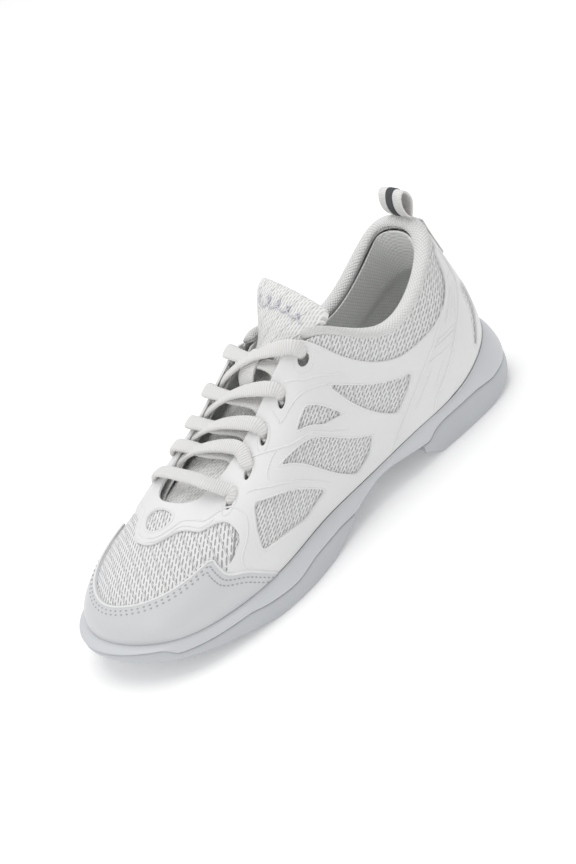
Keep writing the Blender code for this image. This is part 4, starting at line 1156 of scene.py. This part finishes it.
@dataclass
class Tongue:
    """Padded mesh tongue with bound edges, a webbing lace keeper and an embroidered flourish."""

    finish: Finishes
    rise: Tuple = ((-80, 46.0), (-64, 52.5), (-50, 56.4), (-35, 61.0), (-20, 66.4), (-10, 70.6),
                   (5, 78.8), (19, 88.2),
                   (28, 97), (38, 103.5), (43, 105.5))
    half: Tuple = ((-80, 21), (-40, 23), (-10, 22), (0, 19), (9, 17), (20, 16.5), (27, 18), (33, 21.5),
                   (38, 23.5),
                   (43, 22.5))
    drop: Tuple = ((-80, 0.012), (-60, 0.012), (0, 0.016), (19, 0.016), (30, 0.008), (43, 0.003))
    tilt: Tuple = ((-80, 0.0), (19, 0.0), (34, 0.2), (43, 0.22))
    thick: float = 4.6
    seam: float = 9.0
    end: float = 43.0

    def face(self, x: Array, y: Array) -> Array:
        """Height of the upper face: a rise along the shoe, less a drop with the square of y, plus a tilt."""
        y = np.asarray(y, float)
        return smooth(self.rise, x) - smooth(self.drop, x) * y**2 + smooth(self.tilt, x) * y

    def normal(self, x: Array) -> Array:
        """Unit normal of the middle line."""
        slope = smooth(self.rise, x + 0.5) - smooth(self.rise, x - 0.5)
        return unit(np.stack([-slope, 0 * x, 1 + 0 * x], -1))

    def slab(self, name: str, x0: float, x1: float, puff: float) -> bpy.types.Object:
        """Closed pad: superellipse section across, its thickness eased to a rounded roll at the free end."""
        rows = int((x1 - x0) / 0.5)
        x = np.linspace(x0, x1, rows)
        ring = oval(2.0, 1.0, 56, 0.42)
        near = ease((x1 - x) / 1.6) if puff else np.ones(rows)
        near = np.sqrt(np.clip(near, 0.02, 1))
        half = smooth(self.half, x) - (1 - near) * 1.5
        y = ring[None, :, 0] * half[:, None]
        n = self.normal(x)
        swell = 1 + puff * 0.35 * ease((x - (x1 - 9)) / 5)
        lumps = 0.35 * np.cos(y * TAU / 11.0) * np.cos(ring[None, :, 0] * math.pi / 2)
        off = -0.5 * self.thick + (ring[None, :, 1] * self.thick * swell[:, None]) * near[:, None] \
            + lumps * np.sign(ring[None, :, 1]) * 0.6
        base = np.stack([np.broadcast_to(x[:, None], y.shape), y, self.face(x[:, None], y)], -1)
        pts = base + off[..., None] * n[:, None]
        run = np.concatenate([[0], np.cumsum(np.linalg.norm(np.diff(base[:, 14], axis=0), axis=1))])
        cloth = np.stack([np.broadcast_to(run[:, None], y.shape), y, 0 * y], -1)
        m = pts.shape[1]
        faces = [grid_faces(rows, m, False, True), np.arange(m)[::-1][None],
                 np.arange(m)[None] + (rows - 1) * m]
        piece = Solid().add(pts, faces, cloth).make(name, self.finish.tongue_mesh)
        tidy_mesh(piece)
        return piece

    def keeper(self) -> bpy.types.Object:
        """Webbing band that loops up over the crossing laces, with a folded ribbed bar."""
        at = lambda x, lift: [x, 0.0, float(self.face(x, 0.0)) + lift]
        path = spline([at(-5.5, 0.6), at(-2.4, 1.0), at(-1.4, 5.0), at(1.6, 8.2), at(7.0, 8.8),
                       at(12.4, 6.2), at(15.0, 1.6), at(19, 0.7)], 0.5)
        side = np.zeros_like(path) + [0, 1.0, 0]
        up = unit(np.cross(tangents(path), side))
        up = up * np.where(up[:, 2:3] < 0, -1, 1)
        width = 12.0 - 2.2 * ease((path[:, 0] + 2) / 12)
        s = np.linspace(0, 1, len(path))
        bar = ease((s - 0.42) / 0.04) * ease((0.62 - s) / 0.04)
        ribs = 0.35 * np.abs(np.sin(s * len(path) * 0.5 * math.pi / 1.5)) * bar
        ring = oval(2.0, 2.0, 24, 0.35)
        prof = ring[None] * np.stack([width / 2, 0.6 + ribs], -1)[:, None]
        solid = Solid()
        add_tube(solid, path, side, up, prof, cloth_scale=1.0)
        return solid.make("lace_keeper", self.finish.webbing)

    def flourish(self) -> bpy.types.Object:
        """Generic embroidered wave of loops across the tongue's free end."""
        s = np.linspace(0, 1, 420)
        y = 17 - 32 * s + 2.2 * np.sin(s * TAU * 4.5)
        x = 33.0 + 0.8 * np.sin(s * TAU * 0.5) + (2.2 - 1.0 * s) * np.cos(s * TAU * 4.5)
        p = np.stack([x, y, self.face(x, y)], -1) + self.normal(x) * 0.75
        d = tangents(p)
        side = unit(np.cross(self.normal(x), d))
        prof = oval(0.9, 0.55, 8)[None] * (0.75 + 0.35 * np.abs(np.sin(s * TAU * 4.5 + 0.6)))[:, None, None]
        solid = Solid()
        add_tube(solid, p, side, self.normal(x), prof)
        return solid.make("tongue_embroidery", self.finish.silk)

    def build(self) -> None:
        """Makes the lower tongue and the free top, then the lace keeper on the rear body and the embroidery.
        """
        lower = self.slab("tongue_lower", -80.0, self.seam, 0.0)
        flexes(lower, "tongue", "tongue_lower")
        upper = self.slab("tongue_upper", self.seam - 3.0, self.end, 1.0)
        fold = {"start": (0.011, 0, float(self.face(11.0, 0)) * MM),
                "end": (0.030, 0, float(self.face(30.0, 0)) * MM)}
        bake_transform(upper)
        settle(upper, "tongue", "tongue_upper")
        rides(self.keeper(), Body.REAR, "webbing", "lace_keeper")
        flourish = self.flourish()
        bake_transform(flourish)
        settle(flourish, "tongue")


@dataclass
class Lace:
    """One flat tubular lace through ten holes, its tails tucked inside with plastic tips."""

    finish: Finishes
    tongue: Tongue
    upper: Upper
    width: float = 7.4
    thick: float = 3.0

    def hole(self, row: int, side: int, off: float, inward: float = 0.0) -> Array:
        """Point on a hole's axis; side -1 is the outer row. inward moves it towards the throat."""
        k, t = self.upper.eyelets[row]
        return LAST.at(k if side < 0 else Last.TURN - k, t + inward, off)

    def edge(self, row: int, side: int, shift: float, t: float, off: float) -> Array:
        """Point over or under the throat edge beside a hole."""
        k = self.upper.eyelets[row][0] + shift
        return LAST.at(k if side < 0 else Last.TURN - k, t, off)

    def face_of(self, row: int, side: int) -> Array:
        """Wall normal at a hole."""
        k, t = self.upper.eyelets[row]
        return LAST.normal(k if side < 0 else Last.TURN - k, t)

    def crossing(self, row: int, side: int) -> List[Tuple[Array, Array, float, float]]:
        """From under hole (row, side), over the tongue, down through the next hole up on the other side.

        Returns:
            Path points with the way the flat side faces, the width and the thickness at each.
        """
        over = 3.2 if side > 0 else 0.0
        n, m = self.face_of(row, side), self.face_of(row - 1, -side)
        out = unit(self.hole(row - 1, -side, 0) - self.edge(row - 1, -side, 0.0, 1.0, 0))
        left = self.edge(row, side, -0.14, 1.0, -2.6)
        right = self.edge(row - 1, -side, 0.14, 1.0, 2.6)
        middle = 0.5 * (left + right)
        tongue = float(self.tongue.face(middle[0], middle[1])) + 1.8
        middle[2] = max(middle[2] + 0.4, tongue) + over
        return [(self.hole(row, side, -4.2), -n, 5.2, 3.0), (left, UP, 7.0, 2.6),
                (middle, UP, self.width, self.thick), (right, m, self.width, self.thick),
                (self.hole(row - 1, -side, 1.7, 0.05), m, 6.6, 3.0),
                (self.hole(row - 1, -side, 0.2, 0.028), out, 4.8, 3.0),
                (self.hole(row - 1, -side, -2.4, 0.02), out, 4.6, 3.0)]

    def tail(self, side: int) -> List[Tuple[Array, Array, float, float]]:
        """Tail tucked under the tongue and forward into the toe."""
        pts = [(self.hole(0, side, -6.0), -self.face_of(0, side), 5.0, 3.0)]
        route = ((12, 20.0, 70.0), (3, 17, 57.0), (-20, 11, 44.0), (-48, 10, 32.0), (-74, 9, 26.5))
        return pts + [(np.array([x, side * y, z], float), UP, 5.0, 2.8) for x, y, z in route]

    def route(self) -> List[Tuple[Array, Array, float, float]]:
        """Whole lace: tail, four crossings, bar over the vamp, four crossings, tail."""
        def half(side: int) -> List[Tuple[Array, Array, float, float]]:
            """One side's crossings and tail."""
            pts, s = [], side
            for row in (4, 3, 2, 1):
                pts += self.crossing(row, s)
                s = -s
            return pts + self.tail(s)

        def turn(side: int) -> List[Tuple[Array, Array, float, float]]:
            """Up through the lowest hole onto the vamp bar."""
            out = unit(self.hole(4, side, 0) - self.edge(4, side, 0.0, 1.0, 0))
            return [(self.hole(4, side, -2.4), out, 4.6, 3.2), (self.hole(4, side, 0.2, 0.01), out, 4.8, 3.2),
                    (self.hole(4, side, 1.8, 0.05), self.face_of(4, side), 6.6, 3.0)]
        low = [self.hole(4, side, 2.0) for side in (-1, 1)]
        top = float(self.edge(4, -1, 0.0, 1.0, 2.6)[2]) - 0.5 * float(low[0][2] + low[1][2])
        bar = [(low[0] + (low[1] - low[0]) * u + UP * top * (1 - (2 * u - 1)**4), UP, self.width, self.thick)
               for u in (0.2, 0.35, 0.5, 0.65, 0.8)]
        return half(-1)[::-1] + turn(-1) + bar + turn(1)[::-1] + half(1)

    def build(self) -> None:
        """Carries a ribbed oval along the smoothed route; the flat side follows the surface under it."""
        route = self.route()
        pts = np.array([r[0] for r in route])
        facing = np.array([unit(r[1]) for r in route])
        dots = np.sum(facing[1:] * facing[:-1], 1)
        facing = facing * np.concatenate([[1], np.cumprod(np.where(dots < -0.3, -1, 1))])[:, None]
        table = np.concatenate([pts, facing, np.array([[r[2], r[3]] for r in route])], 1)
        line = spline(table, 0.55, (1, 1, 1, 0, 0, 0, 0, 0))
        path, hint = line[:, :3], line[:, 3:6]
        for _ in range(3):
            path = eased_row(path)
        d = tangents(path)
        up = unit(hint - np.sum(hint * d, 1, keepdims=True) * d)
        for _ in range(14):
            up = unit(eased_row(up))
        up = unit(up - np.sum(up * d, 1, keepdims=True) * d)
        side = np.cross(d, up)
        run = np.concatenate([[0], np.cumsum(np.linalg.norm(np.diff(path, axis=0), axis=1))])
        rib = 1 + 0.02 * np.abs(np.sin(run * math.pi / 1.1))
        prof = oval(2.0, 2.0, 22, 0.8)[None] * (line[:, 6:8] * 0.5 * rib[:, None])[:, None]
        solid = Solid()
        add_tube(solid, path, side, up, prof)
        LOG.info("lace length %.0f mm", run[-1])
        flexes(solid.make("lace", self.finish.lace), "lace", "lace")
        for name in ("aglet_lateral", "aglet_medial"):
            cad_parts[name].data.materials.clear()
            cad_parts[name].data.materials.append(self.finish.plastic)


@dataclass
class PullLoop:
    """Webbing loop at the back of the collar with a dark woven stripe and its sewn foot."""

    finish: Finishes
    pivot: Tuple[float, float] = (114.0, 99.6)
    width: float = 17.6
    shape: Tuple = ((0.0, 0.4), (-2.0, 3.4), (-2.5, 7.6), (-1.3, 12.0), (1.0, 13.8), (3.3, 12.2),
                    (4.2, 8.0), (2.6, 3.4))

    def path(self, grow: float) -> Array:
        """Drop-shaped side view grown outwards from its middle."""
        p, mid = np.array(self.shape), np.array([1.1, 7.0])
        v = p - mid
        p = mid + v * (1 + grow / np.linalg.norm(v, axis=1, keepdims=True)) + self.pivot
        line = spline(p, 0.5, closed=True)
        return np.stack([line[:, 0], 0 * line[:, 0], line[:, 1]], -1)

    def band(self, name: str, line: Array, width: float, thick: float, material: bpy.types.Material,
             closed: bool) -> bpy.types.Object:
        """Flat band with rounded edges along a path."""
        side = np.zeros_like(line) + [0, 1.0, 0]
        up = unit(np.cross(tangents(line, closed), side))
        solid = Solid()
        add_tube(solid, line, side, up, oval(width, thick, 24, 0.35), closed)
        return solid.make(name, material)

    def build(self) -> None:
        """Loop and stripe swing together; the sewn foot stays on the heel with a box of stitches."""
        loop = self.band("pull_loop", self.path(0.0), self.width, 1.3, self.finish.webbing, True)
        tidy_mesh(loop)
        rides(loop, Body.LOOP, "webbing", "pull_loop")
        ring = self.path(0.85)
        n = len(ring)
        stripe = self.band("pull_loop_stripe", ring[int(n * 0.06):int(n * 0.93)], 5.2, 0.5,
                           self.finish.stripe, False)
        rides(stripe, Body.LOOP, "stripe", "pull_loop_stripe")
        t = np.linspace(0.64, 0.97, 40)
        foot = LAST.wall(0 * t, t) + np.array([0.85, 0, 0])
        anchor = self.band("pull_loop_anchor", foot, self.width, 0.9, self.finish.webbing, False)
        rides(anchor, Body.REAR, "webbing", "pull_loop_anchor")
        threads = Solid()
        for w in (-0.235, 0.235):
            add_stitches(threads, np.stack([w + 0 * t[::2], t[::2] * 0.93 + 0.03], -1), 1.85, 1.5, 0.3)
        for row in (0.66, 0.93):
            k = np.linspace(-0.21, 0.21, 8)
            add_stitches(threads, np.stack([k, row + 0 * k], -1), 1.85, 1.4, 0.3)
        # painted shade: the heel stitches use the same grey thread that stands for stitch-hole shade
        rides(threads.make("heel_stitches", self.finish.thread), Body.REAR, "webbing")


@dataclass
class Studio:
    """Pale floor, soft lights and the camera."""

    azimuth: float = -24.45
    elevation: float = 30.1
    roll: float = -26.98
    target: Tuple[float, float, float] = (9.9, 7.01, 40.0)
    distance: float = 1000.0
    lens: float = 84.99

    def floor(self) -> None:
        """Large level sheet with a plain pale finish."""
        shade = Shade("floor_paper")
        shade.base(Base_Color=(0.93, 0.93, 0.93, 1), Roughness=0.9)
        shade.base(Emission_Color=(1, 1, 1, 1), Emission_Strength=0.16)
        size = 6000.0
        pts = np.array([[-size, -size, 0], [size, -size, 0], [size, size, 0], [-size, size, 0]])
        Solid().add(pts, [np.array([[0, 1, 2, 3]])]).make("floor", shade.material)

    def light(self, name: str, place: Tuple[float, float, float], size: float, power: float) -> None:
        """Square soft light aimed at the shoe."""
        data = bpy.data.lights.new(name, "AREA")
        data.size, data.energy = size, power
        obj = bpy.data.objects.new(name, data)
        bpy.context.scene.collection.objects.link(obj)
        back = unit(np.array(place, float))
        right = unit(np.cross(UP, back)) if abs(back[2]) < 0.99 else np.array([1.0, 0, 0])
        turn = np.eye(4)
        turn[:3, :3] = np.stack([right, np.cross(back, right), back], -1)
        turn[:3, 3] = place
        obj.matrix_world = Matrix(turn.tolist())

    def sky(self) -> None:
        """Even white surround."""
        world = bpy.data.worlds.new("studio")
        world.use_nodes = True
        world.node_tree.nodes["Background"].inputs["Color"].default_value = (1.0, 1.0, 1.0, 1)
        world.node_tree.nodes["Background"].inputs["Strength"].default_value = 0.62
        bpy.context.scene.world = world
        bpy.context.scene.view_settings.view_transform = "Standard"

    def camera(self) -> None:
        """Camera on a ray from the target, rolled about its own axis."""
        az, el, ro = (math.radians(v) for v in (self.azimuth, self.elevation, self.roll))
        back = np.array([math.sin(az) * math.cos(el), -math.cos(az) * math.cos(el), math.sin(el)])
        right = np.array([math.cos(az), math.sin(az), 0.0])
        up = np.cross(back, right)
        turn = np.eye(4)
        turn[:3, 0] = math.cos(ro) * right + math.sin(ro) * up
        turn[:3, 1] = -math.sin(ro) * right + math.cos(ro) * up
        turn[:3, 2] = back
        turn[:3, 3] = (np.array(self.target) + back * self.distance) * MM
        data = bpy.data.cameras.new("view")
        data.lens, data.sensor_width = self.lens, 36.0
        data.clip_start, data.clip_end = 0.05, 50.0
        obj = bpy.data.objects.new("view", data)
        obj.matrix_world = Matrix(turn.tolist())
        bpy.context.scene.collection.objects.link(obj)
        bpy.context.scene.camera = obj

    def build(self) -> None:
        """Sets up the whole studio."""
        self.floor()
        self.sky()
        self.light("overhead", (0.15, 0.25, 1.3), 1.2, 9.0)
        self.light("left_fill", (-1.3, -0.4, 0.7), 0.9, 3.0)
        self.camera()


def main() -> None:
    """Builds the studio and every assembly."""
    Studio().build()
    finish = Finishes()
    Sole(finish).build()
    upper, tongue = Upper(finish), Tongue(finish)
    upper.build()
    Collar(finish).build()
    tongue.build()
    Lace(finish, tongue, upper).build()
    PullLoop(finish).build()


if __name__ == "__main__":
    main()
